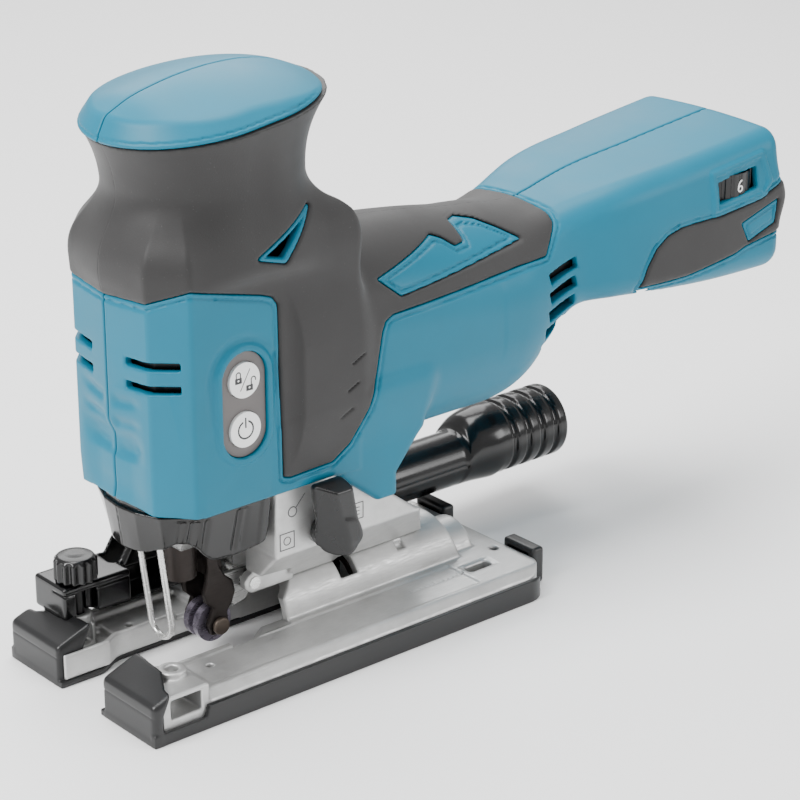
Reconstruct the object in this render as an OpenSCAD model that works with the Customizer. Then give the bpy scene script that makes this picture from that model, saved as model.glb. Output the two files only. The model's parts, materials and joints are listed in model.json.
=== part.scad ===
/* [Base] */
// Length of the sole along the cut
base_len = 160; // [150:1:170]
// Width of the sole across the cut
base_w = 78; // [76:0.5:80]
// Distance from the blade line forward to the front edge of the sole
base_front = 38; // [36:1:40]
// Thickness of the metal runners above the sole
runner_top = 10.5; // [10:0.1:11]
// Thickness of the plastic sole cover under the base
sole_t = 2; // [1.6:0.1:2.2]
// Half width of the blade slot at the front opening
slot_narrow = 9.5; // [9:0.1:10]
// Half width of the blade slot beside the blade and roller
slot_wide = 13.8; // [13.6:0.1:14]
// Radius of the round saddle that the base tilts on
saddle_r = 14; // [13.6:0.1:14]
// Height of the bevel axis above the sole
bevel_z = 10; // [9.8:0.1:10.2]

/* [Housing] */
// Half width of the housing column
column_half_w = 28.5; // [28:0.1:29]
// Wall thickness of the plastic shells
wall = 3; // [2.6:0.1:3]
// Thickness of the rubber overmould
rubber_t = 1.6; // [1.2:0.1:1.8]
// Height of the motor axis above the sole
motor_z = 95; // [94.5:0.5:95.5]
// Radius of the round sides of the barrel
barrel_r = 29.5; // [29:0.1:30]
// Height by which the barrel is taller than it is wide, halved
barrel_rise = 5.5; // [5:0.1:6]
// Height of the knob's crown above the sole
knob_top = 190; // [188:0.5:192]
// Rear end of the battery housing behind the blade line
rear_x = 234; // [230:1:236]
// Half width of the battery housing at its rear end
rear_half_w = 35; // [34:0.5:36]

/* [Drive] */
// Module of the gear teeth
gear_module = 0.75; // [0.75]
// Teeth on the motor pinion
pinion_teeth = 10; // [10]
// Teeth on the crank gear
gear_teeth = 58; // [58]
// Stroke of the plunger
stroke = 26; // [20:1:26]
// Radius of the plunger rod
plunger_r = 5; // [4.5:0.1:5]
// Running clearance of shafts in their bores
run_gap = 0.05; // [0.02:0.01:0.1]

/* [Controls] */
// Radius of each push button
button_r = 5.5; // [5:0.1:5.6]
// Travel of each push button
button_travel = 0.8; // [0.5:0.1:0.9]
// Radius of the speed dial
dial_r = 13; // [12.6:0.1:13.2]
// Radius of the dust nozzle's tube
nozzle_r = 9.7; // [9.4:0.1:9.8]
// Outer radius of the dust nozzle's hose collar
collar_r = 13.1; // [12.8:0.1:13.2]
// Bore radius of the dust nozzle's hose collar
collar_bore_r = 10.6; // [10.2:0.1:10.8]

/* [Hidden] */
$fn = 64;

big = 600;
base_rear = base_len - base_front;
half_w = base_w / 2;
rubber_grey = [0.27, 0.27, 0.28];
teal = [0.23, 0.58, 0.69];
alloy = [0.75, 0.75, 0.76];
black = [0.12, 0.12, 0.13];

// Column: flat nose, bevelled corners and long flat sides
nose_x = -23.6;
nose_half = 19;
nose_back = 1.6;
corner_x = -13.1;
column_rear = 50;
column_bottom = 62.4;
column_top = 138;
// Knob neck and crown, both ovals lengthened along X
knob_x = 13.4;
neck_r = 27;
neck_stretch = 4;
crown_r = 32;
crown_stretch = 5;
crown_front_z = 173;
crown_slope = 0.14;
crown_edge_h = 8;
// Barrel and battery housing
barrel_front = 30;
barrel_rear = 141;
tail_x = 128;
tail_half_w = 23;
rail_z = 91;
bay_top = 106;
bay_front = 168;
bay_half_w = 29.5;
// Leg of the plastic housing that covers the back of the gear housing
leg_rear = 65;
leg_z = 48.4;
// Gear housing
gear_half_w = 24.4;
foot_front = 19.5;
foot_z = 39;
foot_bottom_z = 22;
foot_bottom_half = 8;
foot_rear_low = 92;
foot_rear_high = 76;
// Crank train
pinion_r = gear_module * pinion_teeth / 2;
gear_r = gear_module * gear_teeth / 2;
gear_z = motor_z - pinion_r - gear_r;
gear_x = 20.5;
gear_t = 8;
crank_r = stroke / 2;
crank_pin_r = 2.2;
yoke_rear = 12.4;
// Blade clamp at mid stroke
clamp_low = 30;
clamp_high = 46;
clamp_core_r = 3.6;
clamp_sleeve_r = 5.4;
// Roller and its retainer
roller_x = 10;
roller_z = 13;
roller_r = 6.5;
pivot_x = 20.5;
pivot_z = 26;
pivot_r = 2;
// Orbital lever
lever_x = 37;
lever_z = 44.6;
lever_y = -24.6;
// Bolt that clamps the base
bolt_x = 58;
bolt_r = 2.5;
slide_travel = 22;
// Buttons
panel_x = 5.4;
panel_z = 94.8;
panel_y = 27.9;
panel_r = 8;
panel_half = 8.5;
button_pitch = 15.6;
// Speed dial
dial_x = 211;
dial_y = -20.4;
dial_low = 117.3;
dial_high = 126.2;
// Dust nozzle
nozzle_y = 27;
nozzle_z = 24.3;
collar_z = 27.6;
nozzle_front = 74;
collar_front = 138;
nozzle_rear = 180;
port_depth = 29;
boss_x = -21.6;
boss_y = 25;
boss_r = 4;
boss_top = 16;
bracket_top = 27; // [26:0.5:28]

module half_space(left) {
    translate([-big / 2, left ? -big : 0, -big / 2]) cube([big, big, big]);
}

module block(x0, x1, y0, y1, z0, z1) {
    translate([x0, y0, z0]) cube([x1 - x0, y1 - y0, z1 - z0]);
}

module rod_x(x0, x1, y, z, r) {
    translate([x0, y, z]) rotate([0, 90, 0]) cylinder(h = x1 - x0, r = r);
}

module rod_y(x, y0, y1, z, r) {
    translate([x, y0, z]) rotate([-90, 0, 0]) cylinder(h = y1 - y0, r = r);
}

module rod_z(x, y, z0, z1, r) {
    translate([x, y, z0]) cylinder(h = z1 - z0, r = r);
}

// A side outline in X and Z, extruded across Y
module side_plate(points, y0, y1) {
    translate([0, y1, 0]) rotate([90, 0, 0]) linear_extrude(y1 - y0) polygon(points);
}

// A plan outline in X and Y, extruded up Z
module plan_plate(points, z0, z1) {
    translate([0, 0, z0]) linear_extrude(z1 - z0) polygon(points);
}

module oval(r, stretch) {
    translate([knob_x - stretch, 0]) circle(r);
    translate([knob_x + stretch, 0]) circle(r);
    translate([knob_x - stretch, -r]) square([2 * stretch, 2 * r]);
}

function column_plan(o) = [
    [nose_x + o, 0], [nose_x + nose_back + o, nose_half - o / 3],
    [corner_x + o / 2, column_half_w - o], [column_rear - o, column_half_w - o],
    [column_rear - o, o - column_half_w], [corner_x + o / 2, o - column_half_w],
    [nose_x + nose_back + o, o / 3 - nose_half]];

module barrel(o) {
    for (dz = [-barrel_rise, barrel_rise])
        rod_x(barrel_front, barrel_rear - o, 0, motor_z + dz, barrel_r - o);
    block(barrel_front, barrel_rear - o, o - barrel_r, barrel_r - o,
          motor_z - barrel_rise, motor_z + barrel_rise);
}

module battery_housing(o) {
    intersection() {
        side_plate([[tail_x, 78 + o], [146, 90 + o], [rear_x - o, rail_z + o],
                    [rear_x - o, 134 - o], [226 - o, 139.7 - o], [144, 127.6 - o],
                    [tail_x, 124 - o]], -50, 50);
        plan_plate([[tail_x, o - tail_half_w], [146, o - 25], [166, o - 31],
                    [rear_x, o - rear_half_w], [rear_x, rear_half_w - o],
                    [166, 31 - o], [146, 25 - o], [tail_x, tail_half_w - o]], 0, 200);
    }
}

// The whole plastic body, shrunk by o on every side
module body_shape(o) {
    plan_plate(column_plan(o), column_bottom, column_top - o);
    translate([0, 0, column_top - 20]) linear_extrude(crown_front_z - column_top + 20)
        oval(neck_r - o, neck_stretch);
    barrel(o);
    battery_housing(o);
    side_plate([[19, column_bottom], [38, 64.5], [58, leg_z], [leg_rear - o, leg_z],
                [leg_rear - o, 56], [72, 68], [72, 80], [19, 80]],
               o - column_half_w, column_half_w - o);
}

// The rubber covers the top of the column, its side behind the buttons, and the barrel
module rubber_region() {
    side_plate([[nose_x - 5, 128.8], [corner_x, 134.5], [14.2, 127.2], [19, 122.4],
                [20.2, 66.5], [40, 68.5], [51, 82.3], [55.7, 93], [58, 106], [62.3, 110],
                [130.6, 113.4], [137, 124], [141, 140], [60, 172.9], [nose_x - 5, 172.9]],
               -60, 60);
}

module rubber_skin() {
    intersection() {
        difference() {
            body_shape(0);
            body_shape(rubber_t);
        }
        rubber_region();
    }
}

module panel_outline(r) {
    for (s = [-1, 1])
        translate([panel_x, s * panel_half]) circle(r);
    translate([panel_x - r, -panel_half]) square([2 * r, 2 * panel_half]);
}

module panel_prism(r, y0, y1) {
    translate([0, y1, panel_z]) rotate([90, 0, 0]) linear_extrude(y1 - y0) panel_outline(r);
}

module housing_cavity() {
    body_shape(wall);
    // The column is open below, where the gear housing and the dust cover come out
    plan_plate([[nose_x + wall, 0], [nose_x + nose_back + wall, nose_half - 1],
                [corner_x + wall / 2, 25.5], [leg_rear - wall, 25.5], [leg_rear - wall, -25.5],
                [corner_x + wall / 2, -25.5], [nose_x + nose_back + wall, 1 - nose_half]],
               40, 72);
    // The battery bay is open below and behind
    block(bay_front, rear_x + 5, -bay_half_w, bay_half_w, 80, bay_top);
}

module vent_cuts(side) {
    // Five slanted slots behind the fan
    for (i = [0:4])
        translate([130 - i * 0.3, side * 22, 107 - i * 6.2]) rotate([0, -14, 0])
            block(-5, 5, -14, 14, -1.7, 1.7);
    // Two slots on each side of the nose
    for (i = [0:1])
        translate([-20, side * 14, 105 - i * 8]) block(-8, 6, -6, 4, -1.3, 1.3);
}

module housing_half(left) {
    side = left ? -1 : 1;
    difference() {
        intersection() {
            body_shape(0);
            half_space(left);
        }
        housing_cavity();
        rubber_skin();
        vent_cuts(side);
        screw_bores();
        if (left)
            panel_prism(panel_r + 0.2, -40, -20);
        else
            panel_prism(panel_r + 0.2, 20, 40);
        if (left) {
            block(dial_x - 9, dial_x + 9, -45, -20, dial_low - 0.3, dial_high + 0.3);
            rod_z(dial_x, dial_y, dial_low - 0.3, dial_high + 0.3, dial_r + 0.4);
        }
        bumper(left, 0);
    }
    // Bosses of the housing screws
    difference() {
        intersection() {
            for (p = screw_points())
                rod_y(p[0], -60, 60, p[1], 3.8);
            body_shape(wall - 0.5);
            half_space(left);
        }
        screw_bores();
    }
    // A bridge holds the rear motor bearing
    intersection() {
        difference() {
            rod_x(118, 123, 0, motor_z, 27.5);
            rod_x(110, 130, 0, motor_z, 9.5);
        }
        half_space(left);
    }
    // A shelf closes the battery bay from above
    intersection() {
        block(bay_front - 2, rear_x - wall, -40, 40, bay_top, bay_top + 2.5);
        battery_housing(wall);
        half_space(left);
        difference() {
            block(-big, big, -60, 60, 0, 300);
            translate([dial_x, dial_y, 100]) cylinder(h = 60, r = dial_r + 1);
        }
    }
}

// Screws: place in X and Z, and the Y of the seat under the head
function screw_points() = [[30, 150, 17], [-14.5, 122, 20], [66, 124.2, 8], [118, 124.2, 8],
                           [72, 64.5, 6], [105, 64.5, 6], [133, 86, 22], [144, 112, 17],
                           [222, 131.5, 26]];

// The screws go in from the right; their holes are blind in the left shell
module screw_bores() {
    for (p = screw_points()) {
        rod_y(p[0], -10, p[2] + 1, p[1], 1.7);
        rod_y(p[0], p[2], 60, p[1], 3.4);
    }
}

module housing_left() {
    color(teal) housing_half(true);
}

module housing_right() {
    color(teal) housing_half(false);
}

module grip_rubber_left() {
    color(rubber_grey) intersection() {
        rubber_skin();
        half_space(true);
    }
}

module grip_rubber_right() {
    color(rubber_grey) difference() {
        intersection() {
            rubber_skin();
            half_space(false);
        }
        screw_bores();
    }
}

// The crown: an oval slab between two sloping planes with a bevelled edge
module crown() {
    z0 = crown_front_z;
    intersection() {
        translate([0, 0, z0 - 5]) linear_extrude(60) oval(crown_r, crown_stretch);
        side_plate([[-30, z0 - 6], [60, z0 + 7], [60, knob_top], [35, knob_top],
                    [-18.6, z0 + crown_edge_h], [-23.6, z0]], -40, 40);
    }
    intersection() {
        translate([0, 0, z0 - 5]) linear_extrude(60) oval(crown_r - 3, crown_stretch);
        side_plate([[30, z0], [60, z0 + 5], [60, knob_top], [30, knob_top]], -40, 40);
    }
    // Neck plug between the sloping crown and the flat top of the neck
    translate([0, 0, z0]) linear_extrude(8) oval(neck_r - 2, neck_stretch);
}

module knob_cap_left() {
    color(teal) intersection() {
        crown_solid();
        half_space(true);
    }
}

module knob_cap_right() {
    color(teal) intersection() {
        crown_solid();
        half_space(false);
    }
}

module crown_solid() {
    difference() {
        crown();
        block(-60, 80, -50, 50, 100, crown_front_z);
    }
}

// Rubber strips low on both sides of the battery housing
module bumper_region() {
    side_plate([[160, 92], [166, 108], [182, 112], [205, 113.5], [rear_x, 120],
                [rear_x, 106], [200, 96]], -60, 60);
}

module bumper(left, o) {
    intersection() {
        difference() {
            battery_housing(0);
            battery_housing(rubber_t + o);
        }
        bumper_region();
        half_space(left);
        block(158, rear_x - 1, -60, 60, 80, 130);
        difference() {
            block(-big, big, -60, 60, 0, 300);
            block(bay_front, rear_x + 5, -28, 28, 80, 200);
        }
    }
}

module rear_bumper_left() {
    color(rubber_grey) bumper(true, 0);
}

module rear_bumper_right() {
    color(rubber_grey) bumper(false, 0);
}

module housing_screws() {
    color("dimgray") for (p = screw_points())
        difference() {
            union() {
                rod_y(p[0], -9, p[2] + 1, p[1], 1.65);
                rod_y(p[0], p[2], p[2] + 2.4, p[1], 3.1);
            }
            translate([p[0], p[2] + 1, p[1]]) rotate([-90, 0, 0])
                cylinder(h = 3, r = 1.6, $fn = 6);
        }
}

module switch_panel(side) {
    y0 = side > 0 ? panel_y - 2 : -panel_y;
    difference() {
        panel_prism(panel_r, y0, y0 + 2);
        for (s = [-1, 1])
            rod_y(panel_x, y0 - 1, y0 + 3, panel_z + s * button_pitch / 2, button_r + 0.2);
    }
}

module switch_panel_left() {
    color("gray") switch_panel(-1);
}

module switch_panel_right() {
    color("gray") switch_panel(1);
}

module push_button(side, s) {
    y_out = side * (panel_y + 0.9);
    y_in = side * (panel_y - 2.1);
    rod_y(panel_x, min(y_in, y_out), max(y_in, y_out), panel_z + s * button_pitch / 2, button_r);
}

module lock_button_left() {
    color("white") push_button(-1, 1);
}

module lock_button_right() {
    color("white") push_button(1, 1);
}

module power_button_left() {
    color("white") push_button(-1, -1);
}

module power_button_right() {
    color("white") push_button(1, -1);
}

module speed_dial() {
    color(black) difference() {
        rod_z(dial_x, dial_y, dial_low, dial_high, dial_r);
        for (a = [0:15:345])
            translate([dial_x, dial_y, 0]) rotate([0, 0, a]) translate([dial_r + 0.6, 0, 110])
                cylinder(h = 30, r = 1);
        rod_z(dial_x, dial_y, dial_low - 1, dial_low + 4, 3);
    }
}

module controller_board() {
    color("darkgreen") block(150, 192, -18, 18, bay_top + 3.5, bay_top + 9);
}

module battery_terminal() {
    color("gold") difference() {
        block(bay_front + 3, bay_front + 22, -17, 17, bay_top - 9, bay_top - 0.2);
        for (s = [-1, 1])
            block(bay_front + 8, bay_front + 25, s * 9 - 1.5, s * 9 + 1.5, bay_top - 12, bay_top - 3);
    }
}

module battery_rails() {
    color(alloy) for (s = [-1, 1])
        block(bay_front + 4, rear_x - 6, s * 27.6 - 1.9, s * 27.6 + 1.9, 94, 96);
}

module motor_stator() {
    color("sienna") difference() {
        rod_x(58, 92, 0, motor_z, 25);
        rod_x(50, 100, 0, motor_z, 16.5);
        for (a = [0:60:300])
            translate([0, 0, motor_z]) rotate([a, 0, 0]) block(50, 100, -2, 2, 15, 20.5);
    }
}

module motor_bearings() {
    color("silver") for (x = [39, 117])
        difference() {
            rod_x(x, x + 7, 0, motor_z, 9.5);
            rod_x(x - 1, x + 8, 0, motor_z, 4 + run_gap);
        }
}

module motor_rotor() {
    color("silver") {
        rod_x(29.5, 126, 0, motor_z, 4);
        rod_x(60, 90, 0, motor_z, 15.6);
    }
}

// Straight tooth outline: n teeth of module m with backlash at the pitch line
function gear_outline(n, m) = [
    for (i = [0:n - 1])
        for (c = [[-0.3, m * n / 2 - 1.1 * m], [-0.1, m * n / 2 + 0.85 * m],
                  [0.1, m * n / 2 + 0.85 * m], [0.3, m * n / 2 - 1.1 * m]])
            c[1] * [cos(360 * (i + c[0]) / n), sin(360 * (i + c[0]) / n)]];

module motor_pinion() {
    color("silver") translate([18.5, 0, motor_z]) rotate([90, 0, 90]) linear_extrude(11)
        rotate(-90) polygon(gear_outline(pinion_teeth, gear_module));
}

module cooling_fan() {
    color(black) difference() {
        union() {
            rod_x(103, 105, 0, motor_z, 22);
            rod_x(103, 115, 0, motor_z, 7);
            for (a = [0:30:330])
                translate([0, 0, motor_z]) rotate([a, 0, 0]) block(104, 114, -0.8, 0.8, 6, 21);
        }
        rod_x(100, 120, 0, motor_z, 4);
    }
}

module gear_housing() {
    color(alloy) difference() {
        union() {
            // Cast foot that sits on the saddle
            intersection() {
                side_plate([[foot_front, foot_bottom_z], [foot_rear_low, foot_bottom_z - 0.4],
                            [foot_rear_high, foot_z], [foot_front, foot_z]], -30, 30);
                rotate([90, 0, 90]) linear_extrude(200) polygon([
                    [-foot_bottom_half, foot_bottom_z - 2], [foot_bottom_half, foot_bottom_z - 2],
                    [gear_half_w, foot_z], [-gear_half_w, foot_z]]);
            }
            // Side plates and top
            side_plate([[foot_front, foot_z], [foot_rear_high, foot_z - 0.01], [leg_rear, leg_z],
                        [58, leg_z + 0.1], [38, 64.5], [38, 104], [18.5, 104], [18.5, 66],
                        [foot_front, 59]], -gear_half_w, gear_half_w);
            // Seat of the front motor bearing
            rod_x(37, 46, 0, motor_z, 12);
            // Lugs for the retainer pin
            for (s = [-1, 1])
                rod_y(pivot_x, s * 9.5 - 1.7, s * 9.5 + 1.7, pivot_z, 3.5);
        }
        // Room for the crank gear
        rod_x(0, 30, 0, gear_z, 23);
        block(0, 30, -9, 9, gear_z, 106);
        // Bores of the crank shaft, the motor shaft and the front bearing
        rod_x(20, 50, 0, gear_z, 4 + run_gap);
        rod_x(20, 50, 0, motor_z, 4.6);
        rod_x(39, 50, 0, motor_z, 9.5);
        // The foot rides on the round saddle
        rod_x(0, 200, 0, bevel_z, saddle_r + 0.3);
        // Slot for the retainer, bore for its pin, hole for the base bolt
        block(0, 28, -7.8, 7.8, 0, 44);
        rod_y(pivot_x, -20, 20, pivot_z, pivot_r);
        rod_z(bolt_x, 0, 0, 37, bolt_r + run_gap);
        // Seat of the orbital lever's shaft
        rod_y(lever_x, -30, -17, lever_z, 3 + run_gap);
    }
}

module plunger_frame() {
    color(alloy) difference() {
        block(-9, 18, -21.5, 21.5, 46, 130);
        // Room for the yoke, the crank pin and the pinion
        block(-7, 20, -19, 19, 48.5, 90);
        block(2, 20, -19, 19, 84, 106);
        // Way for the plunger and, below, for the blade clamp
        rod_z(0, 0, 40, 140, 7);
        rod_z(0, 0, 40, 60, 9);
    }
}

module plunger_bushes() {
    color("goldenrod") for (z = [92, 122])
        difference() {
            rod_z(0, 0, z, z + 8, 7);
            rod_z(0, 0, z - 1, z + 9, plunger_r + run_gap);
        }
}

module crank_gear() {
    color("silver") {
        difference() {
            translate([gear_x, 0, gear_z]) rotate([90, 0, 90]) linear_extrude(gear_t)
                rotate(90 + 180 / gear_teeth) polygon(gear_outline(gear_teeth, gear_module));
            // Lightening pockets beside the crank pin balance it
            for (a = [-35, 0, 35])
                translate([0, 0, gear_z]) rotate([a, 0, 0])
                    rod_x(gear_x - 1, gear_x + 4, 15, 0, 3);
        }
        rod_x(gear_x + gear_t - 1, 37, 0, gear_z, 4);
        rod_x(yoke_rear + 0.5, gear_x + 1, crank_r, gear_z, crank_pin_r);
    }
}

module plunger() {
    color("silver") difference() {
        union() {
            rod_z(0, 0, clamp_high, 138, plunger_r);
            block(-3, yoke_rear, -18, 18, gear_z - 5, gear_z + 5);
        }
        // Cross slot for the crank pin
        block(6, yoke_rear + 1, -15.6, 15.6, gear_z - 2.4, gear_z + 2.4);
    }
}

module blade_clamp() {
    color("dimgray") difference() {
        union() {
            rod_z(0, 0, clamp_low, clamp_high, clamp_core_r);
            rod_z(0, 0, clamp_high - 3, clamp_high, 5);
        }
        // Socket for the blade's shank
        block(-2.4, 2.4, -0.8, 0.8, clamp_low - 1, clamp_low + 11);
    }
}

module clamp_sleeve() {
    color("gray") difference() {
        union() {
            rod_z(0, 0, clamp_low + 1, clamp_high - 3.3, clamp_sleeve_r);
            block(4.6, 7.4, -1.6, 1.6, clamp_low + 5, clamp_high - 3.3);
        }
        rod_z(0, 0, clamp_low, clamp_high, clamp_core_r + run_gap);
    }
}

module led_lens() {
    color("lightyellow") block(-15, -9, -12, -7, 61, 64);
}

module wire_guard() {
    guard_y = 5.5;
    color("silver") {
        for (s = [-1, 1])
            translate([-7.5, s * guard_y, 18]) rotate([0, -7, 0]) cylinder(h = 44, r = 1);
        translate([-7.5, 0, 18]) rotate([0, 0, 90]) rotate([90, 0, 0])
            rotate_extrude(angle = -180) translate([guard_y, 0]) circle(1);
    }
}

function cover_plan(o) = column_plan(wall + 0.6 + o);

module dust_cover() {
    color([0.35, 0.33, 0.33, 0.6]) intersection() {
        difference() {
            plan_plate(cover_plan(0), 40, 71);
            plan_plate(cover_plan(2), 30, 90);
            block(18, 80, -50, 50, 0, 200);
        }
        side_plate([[-30, 46], [-19.5, 46], [-2, 43.7], [0.8, 42.7], [6.7, 44.4], [17.7, 48],
                    [17.7, 71], [-30, 71]], -40, 40);
    }
}

module orbital_lever() {
    color(black) {
        rod_y(lever_x, lever_y - 12, lever_y + 6, lever_z, 3);
        rod_y(lever_x, lever_y - 12, lever_y - 0.3, lever_z, 5.2);
        side_plate([[lever_x - 5.2, lever_z], [lever_x + 5.2, lever_z],
                    [lever_x + 1, lever_z + 19], [lever_x - 8.5, lever_z + 19]],
                   lever_y - 12, lever_y - 4.4);
    }
}

module retainer_pin() {
    color("silver") rod_y(pivot_x, -11.6, 11.6, pivot_z, pivot_r);
}

module roller_retainer() {
    color([0.3, 0.24, 0.2]) difference() {
        union() {
            for (s = [-1, 1])
                side_plate([[5.5, roller_z - 3], [roller_x + 2, roller_z - 4.5],
                            [pivot_x + 4, pivot_z - 3], [pivot_x + 3, pivot_z + 4],
                            [15, pivot_z + 12], [9.5, pivot_z + 12], [6, roller_z + 6]],
                           s * 5.4 - 1, s * 5.4 + 1);
            side_plate([[12, 27], [15.5, 27], [15.5, pivot_z + 12], [10, pivot_z + 12]], -5, 5);
        }
        rod_y(pivot_x, -10, 10, pivot_z, pivot_r + run_gap);
        rod_y(roller_x, -10, 10, roller_z, 2.2);
    }
}

module guide_roller() {
    color([0.42, 0.38, 0.42]) translate([roller_x, 0, roller_z]) rotate([90, 0, 0])
        rotate_extrude() polygon([
            [2.2 + run_gap, -3.6], [roller_r, -3.6], [roller_r, -1.2], [roller_r - 2, -0.6],
            [roller_r - 2, 0.6], [roller_r, 1.2], [roller_r, 3.6], [2.2 + run_gap, 3.6]]);
}

module roller_pin() {
    color("silver") rod_y(roller_x, -7.6, 7.6, roller_z, 2.2);
}

// Blade slot, open in front, wider beside the blade and the roller
module slot_cut(grow) {
    plan_plate([[-base_front - 5, -slot_narrow - grow], [-24, -slot_narrow - grow],
                [-13, -slot_wide - grow], [21 + grow, -slot_wide - grow],
                [21 + grow, slot_wide + grow], [-13, slot_wide + grow],
                [-24, slot_narrow + grow], [-base_front - 5, slot_narrow + grow]], -5, 30);
}

module base_plate() {
    color(alloy) difference() {
        union() {
            // Runners joined behind the slot, with bevelled outer edges
            rotate([90, 0, 90]) translate([0, 0, 2 - base_front])
                linear_extrude(base_len - 2)
                    polygon([[-half_w + 2, sole_t], [half_w - 2, sole_t],
                             [half_w - 2, 7.6], [half_w - 5, runner_top],
                             [5 - half_w, runner_top], [2 - half_w, 7.6]]);
            // Saddle
            intersection() {
                rod_x(31, 104, 0, bevel_z, saddle_r);
                block(-50, 150, -20, 20, sole_t, 40);
            }
            intersection() {
                rod_x(103, 112, 0, bevel_z - 3, saddle_r - 3);
                block(0, 150, -20, 20, sole_t, 40);
            }
            // Blocks with the rip fence windows
            for (s = [-1, 1])
                block(2 - base_front, -17, s * 28 - 9, s * 28 + 9, sole_t, 15.6);
            // Round bosses
            for (s = [-1, 1])
                rod_z(boss_x, s * boss_y, sole_t, boss_top, boss_r + 1);
        }
        slot_cut(0);
        // Hollow of the saddle, open below
        rod_x(20, 104, 0, bevel_z, 11);
        block(20, 104, -11, 11, -5, bevel_z);
        // Room for the gear housing's front
        block(19, 31, -16, 16, runner_top - 0.5, 40);
        // Slots of the base bolt: one along the saddle for the slide, one across it for the bevel
        block(bolt_x - slide_travel - 3.5, bolt_x + 3.5, -3.4, 3.4, bevel_z + 1, 40);
        translate([bolt_x - 3.4, 0, 0]) rotate([90, 0, 90]) linear_extrude(6.8)
            polygon([[3.4, 11], [3.4, 40], [-34.5, 40], [-5.8, 11.3]]);
        // Rip fence windows
        for (s = [-1, 1])
            block(-30.5, -19.5, s * 30 - 14, s * 30 + 14, 6.4, 12.6);
        // Tapped holes of the bosses, open into the windows
        for (s = [-1, 1])
            rod_z(boss_x, s * boss_y, 12, 40, 2.1);
        // Scale slot and holes near the rear
        for (s = [-1, 1]) {
            block(99, 109, s * 22.5 - 2, s * 22.5 + 2, -5, 30);
            rod_z(117, s * 16, -5, 30, 1.5);
            rod_z(-5, s * 21.5, -5, 30, 1.25);
        }
        // Rounded rear corners
        for (s = [-1, 1])
            difference() {
                block(base_rear - 6, base_rear + 5, s * (half_w - 3) - 5, s * (half_w - 3) + 5, -5, 30);
                rod_z(base_rear - 8, s * (half_w - 10), -10, 40, 8);
                block(base_rear - 20, base_rear + 6, -half_w + 10, half_w - 10, -10, 40);
            }
    }
}

module sole_cover() {
    color([0.24, 0.24, 0.25]) {
        difference() {
            union() {
                block(-base_front, base_rear, -half_w, half_w, 0, sole_t);
                // Side lips
                for (s = [-1, 1]) {
                    block(-base_front, base_rear - 4, s * (half_w - 1) - 1, s * (half_w - 1) + 1,
                          0, 4.5);
                    block(-16, base_rear - 4, s * (half_w - 1) - 1, s * (half_w - 1) + 1, 0, 7.6);
                    // Front caps
                    side_plate([[-base_front, 0], [-31, 0], [-31, 2], [2 - base_front, 2],
                                [2 - base_front, 16], [-36.6, 16], [-base_front, 11.5]],
                               s * 25.5 - 13.5, s * 25.5 + 13.5);
                    // Rear hooks
                    block(base_rear, base_rear + 5, s * 22.5 - 7.5, s * 22.5 + 7.5, 0, 13);
                    block(base_rear - 1, base_rear + 1, s * 22.5 - 7.5, s * 22.5 + 7.5, 0, sole_t);
                }
            }
            slot_cut(0.8);
            block(20, 104, -11, 11, -5, 10);
            for (s = [-1, 1]) {
                block(99, 109, s * 22.5 - 2, s * 22.5 + 2, -5, sole_t + 1);
                rod_z(117, s * 16, -5, sole_t + 1, 1.5);
            }
        }
    }
}

module clamp_plate() {
    color("dimgray") difference() {
        intersection() {
            rod_x(bolt_x - 14, bolt_x + 14, 0, bevel_z, saddle_r - 3.2);
            block(0, 200, -20, 20, bevel_z + 1, 40);
        }
        rod_x(0, 200, 0, bevel_z, saddle_r - 5.1);
        block(bolt_x - 3.2, bolt_x + 3.2, -13.9, 3.4, bevel_z, 40);
    }
}

module clamp_bolt() {
    color("gray") difference() {
        union() {
            rod_z(bolt_x, 0, 12, 17, 4.5);
            rod_z(bolt_x, 0, 17, 36, bolt_r);
        }
        translate([bolt_x, 0, 11]) cylinder(h = 4, r = 2.4, $fn = 6);
    }
}

module dust_nozzle() {
    color(black) {
        difference() {
            union() {
                rod_x(nozzle_front, collar_front + 2, nozzle_y, nozzle_z, nozzle_r);
                rod_x(collar_front, nozzle_rear, nozzle_y, collar_z, collar_r);
                // Flat duct beside the gear housing
                block(-8, nozzle_front + 4, 26.4, half_w - 1, 11.5, 33);
            }
            rod_x(nozzle_rear - port_depth, nozzle_rear + 5, nozzle_y, collar_z, collar_bore_r);
            rod_x(nozzle_front + 6, nozzle_rear - port_depth + 2, nozzle_y, nozzle_z, nozzle_r - 2);
            block(-6, nozzle_front + 8, 28.4, half_w - 3, 13.5, 31);
            // Mouth that faces the blade
            block(-6, 12, 20, 30, 13.5, 24);
            // Grooves round the collar
            for (x = [159:5:174])
                difference() {
                    rod_x(x, x + 1.6, nozzle_y, collar_z, collar_r + 2);
                    rod_x(x - 1, x + 3, nozzle_y, collar_z, collar_r - 0.8);
                }
        }
        // Arm with the eye for the thumb screw
        difference() {
            union() {
                block(boss_x - 7, -7, 21, half_w - 1, boss_top, bracket_top);
                rod_z(boss_x, boss_y, boss_top, bracket_top, 7);
            }
            rod_z(boss_x, boss_y, 0, 40, 2.6);
            // Recess behind the eye
            block(boss_x + 6, -8.5, 19, 24, boss_top - 1, bracket_top - 2.5);
        }
    }
}

module nozzle_screw() {
    color(black) {
        rod_z(boss_x, boss_y, 12.8, bracket_top + 1, 2.05);
        difference() {
            rod_z(boss_x, boss_y, bracket_top + 0.1, bracket_top + 9, 7);
            for (a = [0:30:330])
                translate([boss_x, boss_y, 0]) rotate([0, 0, a]) translate([7.6, 0, 10])
                    cylinder(h = 40, r = 1.2);
        }
    }
}

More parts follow.
